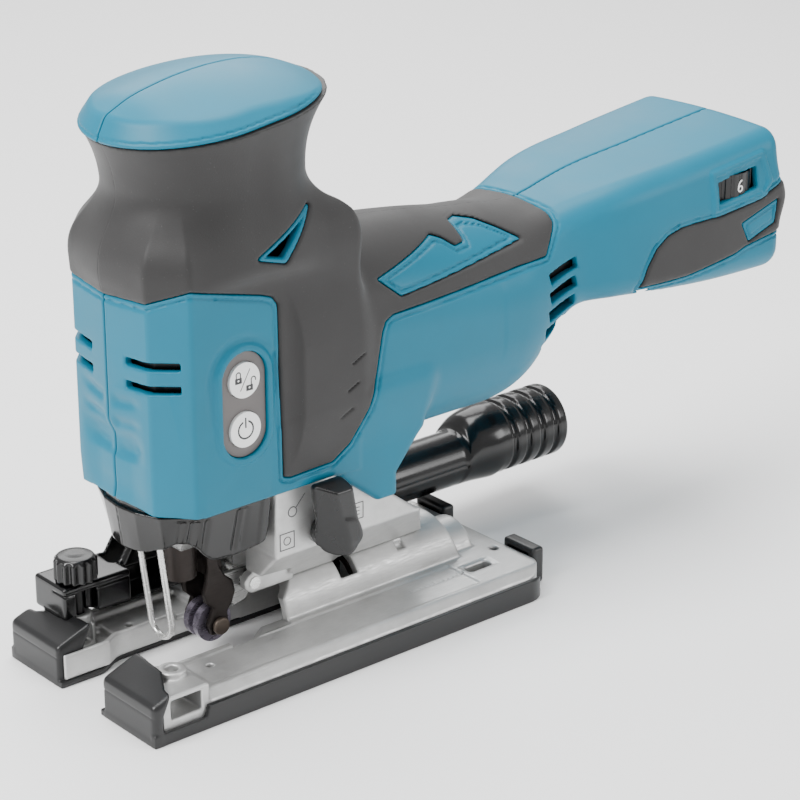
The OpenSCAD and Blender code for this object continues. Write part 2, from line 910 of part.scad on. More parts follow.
housing_left();
housing_right();
grip_rubber_left();
grip_rubber_right();
knob_cap_left();
knob_cap_right();
rear_bumper_left();
rear_bumper_right();
housing_screws();
switch_panel_left();
switch_panel_right();
lock_button_left();
lock_button_right();
power_button_left();
power_button_right();
speed_dial();
controller_board();
battery_terminal();
battery_rails();
motor_stator();
motor_bearings();
motor_rotor();
motor_pinion();
cooling_fan();
gear_housing();
plunger_frame();
plunger_bushes();
crank_gear();
plunger();
blade_clamp();
clamp_sleeve();
led_lens();
wire_guard();
dust_cover();
orbital_lever();
retainer_pin();
roller_retainer();
guide_roller();
roller_pin();
base_plate();
sole_cover();
clamp_plate();
clamp_bolt();
dust_nozzle();
nozzle_screw();
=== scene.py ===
import json
import math

import bpy
import numpy as np
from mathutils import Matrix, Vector


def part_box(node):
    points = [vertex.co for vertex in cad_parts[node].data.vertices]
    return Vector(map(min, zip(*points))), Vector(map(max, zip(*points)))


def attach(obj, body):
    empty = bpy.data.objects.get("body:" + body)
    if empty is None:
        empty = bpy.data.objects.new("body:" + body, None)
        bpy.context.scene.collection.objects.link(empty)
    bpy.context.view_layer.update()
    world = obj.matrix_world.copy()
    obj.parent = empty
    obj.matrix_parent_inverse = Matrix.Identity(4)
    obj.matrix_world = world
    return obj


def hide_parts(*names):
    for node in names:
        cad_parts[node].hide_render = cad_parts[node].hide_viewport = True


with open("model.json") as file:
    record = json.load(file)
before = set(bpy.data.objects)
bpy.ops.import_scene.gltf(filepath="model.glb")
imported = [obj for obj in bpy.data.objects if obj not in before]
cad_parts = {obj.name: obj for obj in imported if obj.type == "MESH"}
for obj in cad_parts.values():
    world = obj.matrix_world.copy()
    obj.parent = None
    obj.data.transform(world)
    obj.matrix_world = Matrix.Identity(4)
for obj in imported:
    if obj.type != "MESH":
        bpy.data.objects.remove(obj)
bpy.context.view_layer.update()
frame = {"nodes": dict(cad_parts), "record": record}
MM = 0.001
SIDES = ((True, "left"), (False, "right"))

# ------------------------------ camera

CAMERA_PLACE = (-0.4184, -0.5973, 0.3791)
CAMERA_BACK = (-0.60149, -0.70754, 0.37093)
camera_data = bpy.data.cameras.new("camera")
camera_data.lens = 117.08
camera_data.sensor_width = 36.0
camera = bpy.data.objects.new("camera", camera_data)
camera.location = CAMERA_PLACE
camera.rotation_euler = (-Vector(CAMERA_BACK)).to_track_quat("-Z", "Y").to_euler()
bpy.context.scene.collection.objects.link(camera)
bpy.context.scene.camera = camera


# ------------------------------ small tools

def link(obj):
    bpy.context.scene.collection.objects.link(obj)
    return obj


def finish_piece(obj, body, material, stands_for=(), smooth=True):
    if smooth and obj.type == "MESH":
        obj.data.shade_smooth()
    obj.data.materials.clear()
    obj.data.materials.append(material)
    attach(obj, body)
    if stands_for:
        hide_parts(*stands_for)


def apply_modifiers(obj):
    """Replaces the object's mesh with its evaluated mesh."""
    graph = bpy.context.evaluated_depsgraph_get()
    made = bpy.data.meshes.new_from_object(obj.evaluated_get(graph))
    old = obj.data
    obj.modifiers.clear()
    obj.data = made
    bpy.data.meshes.remove(old)
    return obj


def add_bevel(obj, width, segments=2, angle=35):
    bevel = obj.modifiers.new("bevel", "BEVEL")
    bevel.width = width * MM
    bevel.segments = segments
    bevel.limit_method = "ANGLE"
    bevel.angle_limit = math.radians(angle)
    bevel.harden_normals = True
    bevel.use_clamp_overlap = True
    return bevel


# ------------------------------ solid shapes as distance fields

def length(u, v):
    return np.sqrt(u**2 + v**2)


def smooth_min(a, b, k):
    h = np.clip(0.5 + 0.5 * (b - a) / k, 0.0, 1.0)
    return b + (a - b) * h - k * h * (1.0 - h)


def smooth_max(a, b, k):
    return -smooth_min(-a, -b, k)


def step01(value, low, high):
    t = np.clip((value - low) / (high - low), 0.0, 1.0)
    return t * t * (3 - 2 * t)


def outline_distance(px, py, points):
    """Signed distance to a closed outline, negative inside."""
    pts = np.array(points, dtype=np.float32)
    best = np.full(np.broadcast(px, py).shape, 1e9, dtype=np.float32)
    inside = np.zeros(best.shape, dtype=bool)
    for a, b in zip(pts, np.roll(pts, -1, axis=0)):
        e = b - a
        wx = px - a[0]
        wy = py - a[1]
        t = np.clip((wx * e[0] + wy * e[1]) / (e @ e + 1e-9), 0.0, 1.0)
        dx = wx - e[0] * t
        dy = wy - e[1] * t
        best = np.minimum(best, dx * dx + dy * dy)
        if a[1] != b[1]:
            above = (a[1] > py) != (b[1] > py)
            cross = px < (b[0] - a[0]) * (py - a[1]) / (b[1] - a[1]) + a[0]
            inside ^= above & cross
    return np.where(inside, -np.sqrt(best), np.sqrt(best))


def curve_value(x, table):
    """Smooth curve through a few (place, value) pairs."""
    xs = [p[0] for p in table]
    ys = [p[1] for p in table]
    slopes = np.gradient(ys, xs)
    i = np.clip(np.searchsorted(xs, x) - 1, 0, len(xs) - 2)
    xa = np.array(xs)[i]
    xb = np.array(xs)[i + 1]
    t = np.clip((x - xa) / (xb - xa), 0.0, 1.0)
    h = xb - xa
    ya = np.array(ys)[i]
    yb = np.array(ys)[i + 1]
    sa = slopes[i] * h
    sb = slopes[i + 1] * h
    value = ((2 * t**3 - 3 * t**2 + 1) * ya + (t**3 - 2 * t**2 + t) * sa
             + (-2 * t**3 + 3 * t**2) * yb + (t**3 - t**2) * sb)
    return value.astype(np.float32)


class Grid:
    """A block of space cut into cubes, for distance fields."""

    def __init__(self, low, high, pitch):
        self.low = np.array(low, dtype=np.float32)
        self.pitch = pitch
        axes = [np.arange(a, b + pitch, pitch, dtype=np.float32) for a, b in zip(low, high)]
        self.shape = tuple(len(a) for a in axes)
        self.x = axes[0][:, None, None]
        self.y = axes[1][None, :, None]
        self.z = axes[2][None, None, :]


def net(grid, field):
    """Surface net: a vertex in each cube the surface crosses, a quad for each crossed edge."""
    field = np.broadcast_to(field, grid.shape)
    _, ny, nz = grid.shape
    inside = field < 0
    cells = []
    places = []
    quads = []
    for axis in range(3):
        front = [slice(None)] * 3
        back = [slice(None)] * 3
        front[axis] = slice(0, -1)
        back[axis] = slice(1, None)
        changed = inside[tuple(front)] != inside[tuple(back)]
        i, j, k = np.nonzero(changed)
        index = np.stack([i, j, k], axis=1)
        a = field[i, j, k]
        step = index.copy()
        step[:, axis] += 1
        b = field[step[:, 0], step[:, 1], step[:, 2]]
        place = index.astype(np.float32)
        place[:, axis] += a / (a - b)
        u = (axis + 1) % 3
        v = (axis + 2) % 3
        keep = (index[:, u] > 0) & (index[:, v] > 0)
        keep &= (index[:, u] < grid.shape[u] - 1) & (index[:, v] < grid.shape[v] - 1)
        index = index[keep]
        place = place[keep]
        outward = a[keep] < 0
        corners = []
        for du, dv in ((-1, -1), (0, -1), (0, 0), (-1, 0)):
            cell = index.copy()
            cell[:, u] += du
            cell[:, v] += dv
            flat = (cell[:, 0] * ny + cell[:, 1]) * nz + cell[:, 2]
            corners.append(flat)
            cells.append(flat)
            places.append(place)
        quad = np.stack(corners, axis=1)
        quad[~outward] = quad[~outward][:, ::-1]
        quads.append(quad)
    cells = np.concatenate(cells)
    places = np.concatenate(places)
    names, where = np.unique(cells, return_inverse=True)
    amount = np.bincount(where, minlength=len(names))
    verts = np.stack([np.bincount(where, weights=places[:, c], minlength=len(names)) / amount
                      for c in range(3)], axis=1)
    verts = verts * grid.pitch + grid.low
    quads = np.searchsorted(names, np.concatenate(quads))
    return verts, quads


def net_piece(name, g, field, body, material, stands=(), keep_faces=90000, mirrored=False):
    """A piece with its surface where the field is zero, thinned to keep_faces triangles."""
    verts, quads = net(g, field)
    if mirrored:
        verts = verts * np.array([1, -1, 1])
        quads = quads[:, ::-1]
    mesh = bpy.data.meshes.new(name)
    mesh.vertices.add(len(verts))
    mesh.vertices.foreach_set("co", (verts * MM).astype(np.float32).ravel())
    mesh.loops.add(quads.size)
    corners = np.ascontiguousarray(quads).astype(np.int32).ravel()
    mesh.loops.foreach_set("vertex_index", corners)
    mesh.polygons.add(len(quads))
    starts = np.arange(0, quads.size, 4, dtype=np.int32)
    mesh.polygons.foreach_set("loop_start", starts)
    mesh.update(calc_edges=True)
    mesh.validate()
    obj = link(bpy.data.objects.new(name, mesh))
    triangles = 2 * len(quads)
    if triangles > keep_faces:
        thin = obj.modifiers.new("thin", "DECIMATE")
        thin.ratio = keep_faces / triangles
        apply_modifiers(obj)
    finish_piece(obj, body, material, stands)


def shell_piece(name, g, field, left, material, stands, keep_faces):
    """A net of the left side, or its mirror image for the right side."""
    net_piece(name, g, field, "tool", material, stands, keep_faces, not left)


def carve(solid, tool, k=0.0):
    """Takes the tool's shape out of a solid, with the cut's edges blended over k."""
    return smooth_max(solid, -tool, k) if k else np.maximum(solid, -tool)


# ------------------------------ the plastic body's shape, in millimetres

NOSE_X = -23.6
KNOB_X = 13.4
CROWN_SLOPE = 0.14
REAR_X = 231.6
COLUMN_BOTTOM = 62.6


def column_field(g):
    plan = [(NOSE_X + 2.5, 0), (-19.4, -17.8), (-12.0, -26.0), (48, -26.0), (48, 26.0),
            (-12.0, 26.0),
            (-19.4, 17.8)]
    side = outline_distance(g.x[:, :, 0], g.y[:, :, 0], plan)[:, :, None] - 2.5
    # The shoulder swells a little below the neck
    swell = 0.9 * np.exp(-((g.z - 141) / 9.0) ** 2)
    side = side - swell
    top = g.z - 151.5
    return smooth_max(side, top, 17.0)


def neck_field(g):
    low = np.clip((158 - g.z) / 20.0, 0, 2)
    rise = CROWN_SLOPE * (g.x - KNOB_X)
    high = np.clip((g.z - 157 - 0.6 * rise) / 19.0, 0, 1.2)
    radius = 26.6 + 2.5 * low**2 + 4.6 * high**2.2
    across = np.maximum(np.abs(g.x - KNOB_X) - 4.2, 0)
    side = length(across, g.y) - radius
    rim = g.z - (173.4 + CROWN_SLOPE * (g.x - NOSE_X))
    side = smooth_max(side, 136 - g.z, 4.0)
    return smooth_max(side, rim, 1.0)


BARREL_TOP = [(30, 135), (55, 133.2), (75, 132.2), (92, 130.2), (110, 127.6), (128, 126.2),
              (150, 126.2)]
BARREL_BOTTOM = [(30, 60.2), (90, 60.2), (128, 60.4), (150, 61)]
BARREL_HALF = [(30, 28.8), (60, 29.4), (100, 29.5), (128, 28.6), (150, 27.5)]


def barrel_field(g):
    top = curve_value(g.x, BARREL_TOP)
    bottom = curve_value(g.x, BARREL_BOTTOM)
    half = curve_value(g.x, BARREL_HALF)
    middle = (top + bottom) / 2
    straight = (top - bottom) / 2 - half
    up = np.maximum(np.abs(g.z - middle) - straight, 0)
    side = np.sqrt(g.y**2 + up**2) - half
    side = np.maximum(side, 28 - g.x)
    # The rear end is rounded off towards the neck of the battery housing
    tilt = (g.x - 143.5) + 0.22 * np.maximum(95 - g.z, 0)
    return smooth_max(side, tilt, 26.0)


REAR_HALF = [(118, 22.5), (132, 23.4), (144, 25.6), (158, 29.6), (170, 31.8), (190, 33.4),
             (232, 34.9)]
REAR_TOP = [(118, 113.0), (132, 122.0), (144, 126.6), (156, 129.8), (190, 134.4), (232, 139.4)]
REAR_BOTTOM = [(118, 84), (132, 87), (146, 91.4), (160, 91.8), (180, 90.6), (200, 89.6),
               (232, 89.4)]


def rear_field(g):
    half = curve_value(g.x, REAR_HALF)
    top = curve_value(g.x, REAR_TOP)
    bottom = curve_value(g.x, REAR_BOTTOM)
    middle = (top + bottom) / 2
    tall = (top - bottom) / 2
    # The sides lean in a little towards the top
    lean = 0.06 * (g.z - middle)
    round_r = 8.0
    qy = np.abs(g.y) - (half - lean) + round_r
    qz = np.abs(g.z - middle) - tall + round_r
    outside = np.sqrt(np.maximum(qy, 0) ** 2 + np.maximum(qz, 0) ** 2)
    section = outside + np.minimum(np.maximum(qy, qz), 0) - round_r
    section = section + 1.6 * (g.y / 34) ** 2 * step01(g.z - middle, 5, 20)
    end = (g.x - REAR_X) + 0.06 * np.maximum(115 - g.z, 0)
    # Each side strip ends in a tip that stands back from the rear face
    end = end - 2.6 * np.exp(-((g.z - 114.5) / 6.5) ** 2) * step01(np.abs(g.y), 16, 27)
    section = np.maximum(section, 116 - g.x)
    return smooth_max(section, end, 5.0)


LEG = [(17, 64.2), (38, 66.0), (58, 50.4), (63.2, 50.4), (63.2, 57.2), (74, 70), (74, 84), (17, 84)]


def leg_field(g):
    side = outline_distance(g.x[:, 0, :], g.z[0, :, :], LEG)[:, None, :] - 1.8
    return smooth_max(side, np.abs(g.y) - 28.4, 3.0)


def body_field(g):
    column = column_field(g)
    column = np.maximum(column, COLUMN_BOTTOM - g.z)
    column = smooth_min(column, leg_field(g), 1.0)
    barrel = barrel_field(g)
    rear = rear_field(g)
    tail = smooth_min(barrel, rear, 9.0)
    both = smooth_min(column, tail, 7.0)
    return smooth_min(both, neck_field(g), 7.0)


# Side outline of the rubber that covers the grip
RUBBER = [(-30, 128.8), (NOSE_X, 128.8), (-21.3, 130.4), (-13.1, 134.4), (13.2, 127.6),
          (16.8, 126.2),
          (18.9, 123.4), (19.9, 68.2), (22, 67.6), (38.0, 68.2), (44.5, 72.4), (51, 82.0),
          (54.6, 92.0),
          (57.2, 105.6), (58.8, 108.6), (62.2, 110.2), (129.5, 113.2), (136.0, 121.5),
          (138.0, 129.0),
          (140, 150), (75, 200), (-30, 200)]
# Teal wing set into the rubber on the barrel
WING = [(60.4, 120.0), (88.6, 125.9), (91.8, 124.6), (95.4, 121.8), (100.4, 122.0), (101.3, 126.6),
        (105.6, 126.6), (111.5, 125.2), (117.0, 122.4), (122.6, 118.9), (117.8, 118.2),
        (67.0, 114.3)]
# Triangular air inlet in the rubber below the neck
INLET = [(10.6, 139.0), (32.6, 149.4), (19.6, 136.4)]
# Rubber strip on the side of the battery housing
STRIP = [(167.0, 95.4), (169.6, 101.4), (173.2, 107.2), (178, 110.6), (184.2, 112.4), (201, 113.0),
         (220, 115.4), (236, 121.0), (236, 104.6), (213.0, 101.0), (208, 99.4), (186, 96.0)]
BADGE = [(211.5, 108.8), (228.6, 114.2), (227.0, 106.4), (214.6, 102.2)]


def side_distance(g, points):
    return outline_distance(g.x[:, 0, :], g.z[0, :, :], points)[:, None, :]


# ------------------------------ materials

def new_material(name, colour, roughness=0.5, metallic=0.0, specular=0.5, coat=0.0, coat_rough=0.1):
    material = bpy.data.materials.new(name)
    material.use_nodes = True
    set_inputs(shader_of(material), {
        "Base Color": (*colour, 1.0), "Roughness": roughness, "Metallic": metallic,
        "Specular IOR Level": specular, "Coat Weight": coat, "Coat Roughness": coat_rough})
    return material


def from_hex(code):
    """Linear colour of an sRGB hex code."""
    out = []
    for i in (0, 2, 4):
        c = int(code[i:i + 2], 16) / 255
        out.append(c / 12.92 if c <= 0.04045 else ((c + 0.055) / 1.055) ** 2.4)
    return tuple(out)


def node(material, kind, **values):
    made = material.node_tree.nodes.new(kind)
    for key, value in values.items():
        setattr(made, key, value)
    return made


def shader_of(material):
    return material.node_tree.nodes["Principled BSDF"]


def set_inputs(made, values):
    for key, value in values.items():
        made.inputs[key].default_value = value


def wire(material, a, out, b, into):
    material.node_tree.links.new(a.outputs[out], b.inputs[into])


def noise(material, scale, detail=3.0, rough=0.55, stretch=None):
    """Noise laid out in the object's own space; scale is features for each metre."""
    place = node(material, "ShaderNodeTexCoord")
    made = node(material, "ShaderNodeTexNoise")
    set_inputs(made, {"Scale": scale, "Detail": detail, "Roughness": rough})
    if stretch:
        mapping = node(material, "ShaderNodeMapping")
        mapping.inputs["Scale"].default_value = stretch
        wire(material, place, "Object", mapping, "Vector")
        wire(material, mapping, "Vector", made, "Vector")
    else:
        wire(material, place, "Object", made, "Vector")
    return made


def ramp(material, source, out, stops):
    made = node(material, "ShaderNodeValToRGB")
    elements = made.color_ramp.elements
    elements[0].position = stops[0][0]
    elements[0].color = (*stops[0][1], 1.0)
    elements[1].position = stops[-1][0]
    elements[1].color = (*stops[-1][1], 1.0)
    for place, colour in stops[1:-1]:
        extra = elements.new(place)
        extra.color = (*colour, 1.0)
    wire(material, source, out, made, "Fac")
    return made


def shade_range(material, source, low, high, a=0.35, b=0.65, into="Roughness"):
    """Drives a socket of the shader between two values by a noise."""
    made = node(material, "ShaderNodeMapRange")
    set_inputs(made, {"From Min": a, "From Max": b, "To Min": low, "To Max": high})
    wire(material, source, "Fac", made, "Value")
    wire(material, made, "Result", shader_of(material), into)


def bumps(material, sources):
    """A chain of bumps: (node, output, strength, height in metres)."""
    last = None
    for source, out, strength, height in sources:
        made = node(material, "ShaderNodeBump")
        set_inputs(made, {"Strength": strength, "Distance": height})
        wire(material, source, out, made, "Height")
        if last is not None:
            wire(material, last, "Normal", made, "Normal")
        last = made
    wire(material, last, "Normal", shader_of(material), "Normal")


def scaled(colour, k):
    return tuple(min(1.0, c * k) for c in colour)


def worn_edges(material, colour_node, edge_colour, strength=0.5, low=0.53, high=0.62):
    """Edges come out in another tone, where use has rubbed them."""
    shape = node(material, "ShaderNodeNewGeometry")
    edge = node(material, "ShaderNodeMapRange")
    set_inputs(edge, {"From Min": low, "From Max": high, "To Min": 0.0, "To Max": strength})
    wire(material, shape, "Pointiness", edge, "Value")
    mix = node(material, "ShaderNodeMix", data_type="RGBA")
    mix.inputs["B"].default_value = (*edge_colour, 1.0)
    wire(material, edge, "Result", mix, "Factor")
    wire(material, colour_node, "Color", mix, "A")
    wire(material, mix, "Result", shader_of(material), "Base Color")


def plastic(name, code, roughness, vary=0.06, grain=1400.0, grain_h=0.00004, coat=0.0):
    """Moulded plastic: spark-eroded grain, faint mottling, and slightly paler rubbed edges."""
    colour = from_hex(code)
    material = new_material(name, colour, roughness, coat=coat)
    broad = noise(material, 28.0, 4.0)
    tone = ramp(material, broad, "Fac",
                [(0.3, scaled(colour, 1 - vary)), (0.7, scaled(colour, 1 + vary))])
    worn_edges(material, tone, scaled(colour, 1.35), 0.35)
    fine = noise(material, grain, 2.0)
    shade_range(material, broad, roughness - 0.05, roughness + 0.06)
    bumps(material, [(fine, "Fac", 0.35, grain_h)])
    return material


def rubber(name, code):
    """Matt rubber with a fine grain and pale dust specks."""
    colour = from_hex(code)
    material = new_material(name, colour, 0.68, specular=0.35)
    broad = noise(material, 45.0, 5.0, 0.6)
    speck = noise(material, 1500.0, 1.5, 0.5)
    tone = ramp(material, broad, "Fac",
                [(0.32, scaled(colour, 0.88)), (0.68, scaled(colour, 1.14))])
    light = ramp(material, speck, "Fac", [(0.7, (0, 0, 0)), (0.8, (1, 1, 1))])
    mix = node(material, "ShaderNodeMix", data_type="RGBA")
    mix.inputs["B"].default_value = (*scaled(colour, 2.6), 1.0)
    wire(material, light, "Color", mix, "Factor")
    wire(material, tone, "Color", mix, "A")
    wire(material, mix, "Result", shader_of(material), "Base Color")
    set_inputs(shader_of(material), {"Sheen Weight": 0.12, "Sheen Roughness": 0.6})
    shade_range(material, broad, 0.5, 0.64)
    grain = noise(material, 1900.0, 3.0, 0.6)
    bumps(material, [(broad, "Fac", 0.12, 0.0004), (grain, "Fac", 0.5, 0.00007)])
    return material


def cast_metal(name, code, roughness, streak=(1.0, 9.0, 9.0), coarse=0.00006):
    """Die-cast or machined metal: faint brushed streaks, stains, and bright edges."""
    colour = from_hex(code)
    material = new_material(name, colour, roughness, metallic=0.72, specular=0.5)
    stain = noise(material, 60.0, 6.0, 0.62)
    tone = ramp(material, stain, "Fac",
                [(0.25, scaled(colour, 0.78)), (0.55, colour), (0.8, scaled(colour, 1.12))])
    worn_edges(material, tone, scaled(colour, 1.5), 0.5, 0.52, 0.6)
    lines = noise(material, 260.0, 4.0, 0.6, streak)
    shade_range(material, lines, roughness - 0.09, roughness + 0.12)
    sand = noise(material, 1700.0, 2.0)
    bumps(material, [(lines, "Fac", 0.25, coarse), (sand, "Fac", 0.3, 0.00005)])
    return material


TEAL = plastic("housing_teal", "006A84", 0.42)
set_inputs(shader_of(TEAL), {"Specular IOR Level": 0.3})
RUBBER_GREY = rubber("grip_rubber", "222121")
PANEL_GREY = plastic("panel_grey", "5E5A59", 0.5, grain=1100.0)
WHITE = plastic("button_white", "F2F3F2", 0.4, 0.02)
BLACK = plastic("black_plastic", "09090A", 0.3, 0.12)
GLOSS_BLACK = plastic("nozzle_black", "060607", 0.17, 0.15, 900.0, 0.00002)
SOLE_GREY = plastic("sole_plastic", "141415", 0.36, 0.07)
ALLOY = cast_metal("cast_alloy", "C4C4C3", 0.42)
ALLOY_DARK = cast_metal("machined_alloy", "8A8A89", 0.3, (0.35, 8.0, 8.0))
STEEL = cast_metal("bright_steel", "D5D5D3", 0.22, (1.0, 2.0, 2.0), 0.00001)
DARK_STEEL = cast_metal("dark_steel", "2A2523", 0.42)
BROWN_STEEL = cast_metal("brown_steel", "5A5048", 0.45)
ROLLER = cast_metal("roller_steel", "6E6874", 0.3, (1.0, 3.0, 3.0), 0.00001)
BRONZE = cast_metal("bronze", "A8763A", 0.4)
WINDINGS = plastic("windings", "8A4A22", 0.35, 0.25, 700.0, 0.0001)
BOARD = plastic("circuit_board", "1F4A2C", 0.4, 0.2)
CONTACTS = plastic("terminal_plastic", "20201F", 0.5, 0.1)
# Grey for the engraved setting signs: painted shade standing in for the shade inside their grooves
SIGN_SHADE_GREY = plastic("sign_painted_shade", "5C5C5C", 0.6, 0.05)
INK = plastic("ink", "2C2C2E", 0.5, 0.05)
SMOKY = plastic("smoky_plastic", "0F0E0E", 0.12, 0.1, 700.0, 0.00001)
set_inputs(shader_of(SMOKY), {"Transmission Weight": 0.3, "IOR": 1.5})
LENS = plastic("lens", "D8D8C0", 0.1, 0.05)
set_inputs(shader_of(LENS), {"Transmission Weight": 0.6})


# ------------------------------ plastic shells and rubber

PITCH = 0.52
WALL = 3.0
RUBBER_T = 1.6
PANEL_X = 5.4
PANEL_Z = 94.8


def stadium(g, x, z, half):
    """Distance in side view from a short upright line."""
    up = np.maximum(np.abs(g.z - z) - half, 0)
    return np.sqrt((g.x - x) ** 2 + up**2)


def sculpted_body(g, left):
    """The plastic body with its raised rims and hollows."""
    body = body_field(g)
    # The nose steps back below the upper slots, with a small ledge under the step
    fade = 1 - step01(np.abs(g.y), 7.0, 17.0)
    front = 1 - step01(g.x, -16.0, -9.0)
    step_back = 2.2 * (1 - step01(g.z, 83.0, 90.0)) - 0.8 * (1 - step01(g.z, 76.5, 79.5))
    wall_left = step01(g.z, 60.0, 70.0)
    step_back = step_back * wall_left
    body = body + fade * front * step_back
    body = body + 0.5 * front * (1 - step01(g.z, 62.0, 74.0))
    # Two soft horizontal dents between the slots and the lower edge
    for height, depth in ((95.5, 0.9), (88.5, 1.1), (79.5, 0.7)):
        dent = np.exp(-((g.z - height - 0.12 * np.abs(g.y)) / 1.7) ** 2)
        body = body + depth * dent * front * (1 - step01(np.abs(g.y), 9.0,
                                                         16.0)) * step01(np.abs(g.y), 1.0, 4.0)
    # Raised rim round the switch panel, with a hollow outside it
    rim = stadium(g, PANEL_X, PANEL_Z, 8.5) - 8.0
    side = step01(np.abs(g.y), 20.0, 24.0)
    raised = 1 - step01(rim, 1.9, 2.9)
    hollow = np.exp(-((rim - 3.9) / 1.3) ** 2) * step01(g.z, 86.0, 104.0)
    body = body - side * (0.75 * raised - 0.55 * hollow)
    if left:
        frame_d = side_distance(g, WINDOW_FRAME)
        body = body - step01(-g.y, 18, 24) * 0.8 * (1 - step01(np.abs(frame_d + 0.2), 0.7, 1.6))
    return body, rim


WINDOW = [(201.2, 117.4), (219.2, 119.9), (219.2, 127.2), (201.2, 124.7)]
WINDOW_FRAME = [(198.6, 128.0), (222.2, 131.2), (224.8, 121.6), (222.0, 117.0), (198.6, 114.6)]


def slots(g):
    """Distance to the nearest of the cooling slots."""
    best = None
    for i in range(5):
        z = 106.4 - i * 6.1
        x = 136.6 - i * 0.45 - (0.9 if i > 2 else 0)
        turn = 0.24
        u = (g.x - x) * math.cos(turn) + (g.z - z) * math.sin(turn)
        v = -(g.x - x) * math.sin(turn) + (g.z - z) * math.cos(turn)
        one = np.maximum(np.abs(u) - (6.6 - 0.6 * max(0, i - 2)), np.abs(v) - 1.9)
        best = one if best is None else np.minimum(best, one)
    rear = np.maximum(best, 9 - np.abs(g.y))
    front = None
    for z in (110.4, 103.2):
        one = np.maximum(np.abs(g.z - z - 0.06 * (np.abs(g.y) - 20)) - 1.25,
                         np.abs(np.abs(g.y) - 17.0) - 8.6)
        front = one if front is None else np.minimum(front, one)
    front = np.maximum(front, g.x + 10)
    return np.minimum(rear, front)


# Housing screws on the right side: x and z of each
SCREWS = [(30, 150), (-14.5, 122), (72, 64.5), (105, 64.5), (133, 86), (144, 112), (222, 131.5)]


def screw_distance(g):
    best = None
    for x, z in SCREWS:
        one = length(g.x - x, g.z - z)
        best = one if best is None else np.minimum(best, one)
    return best


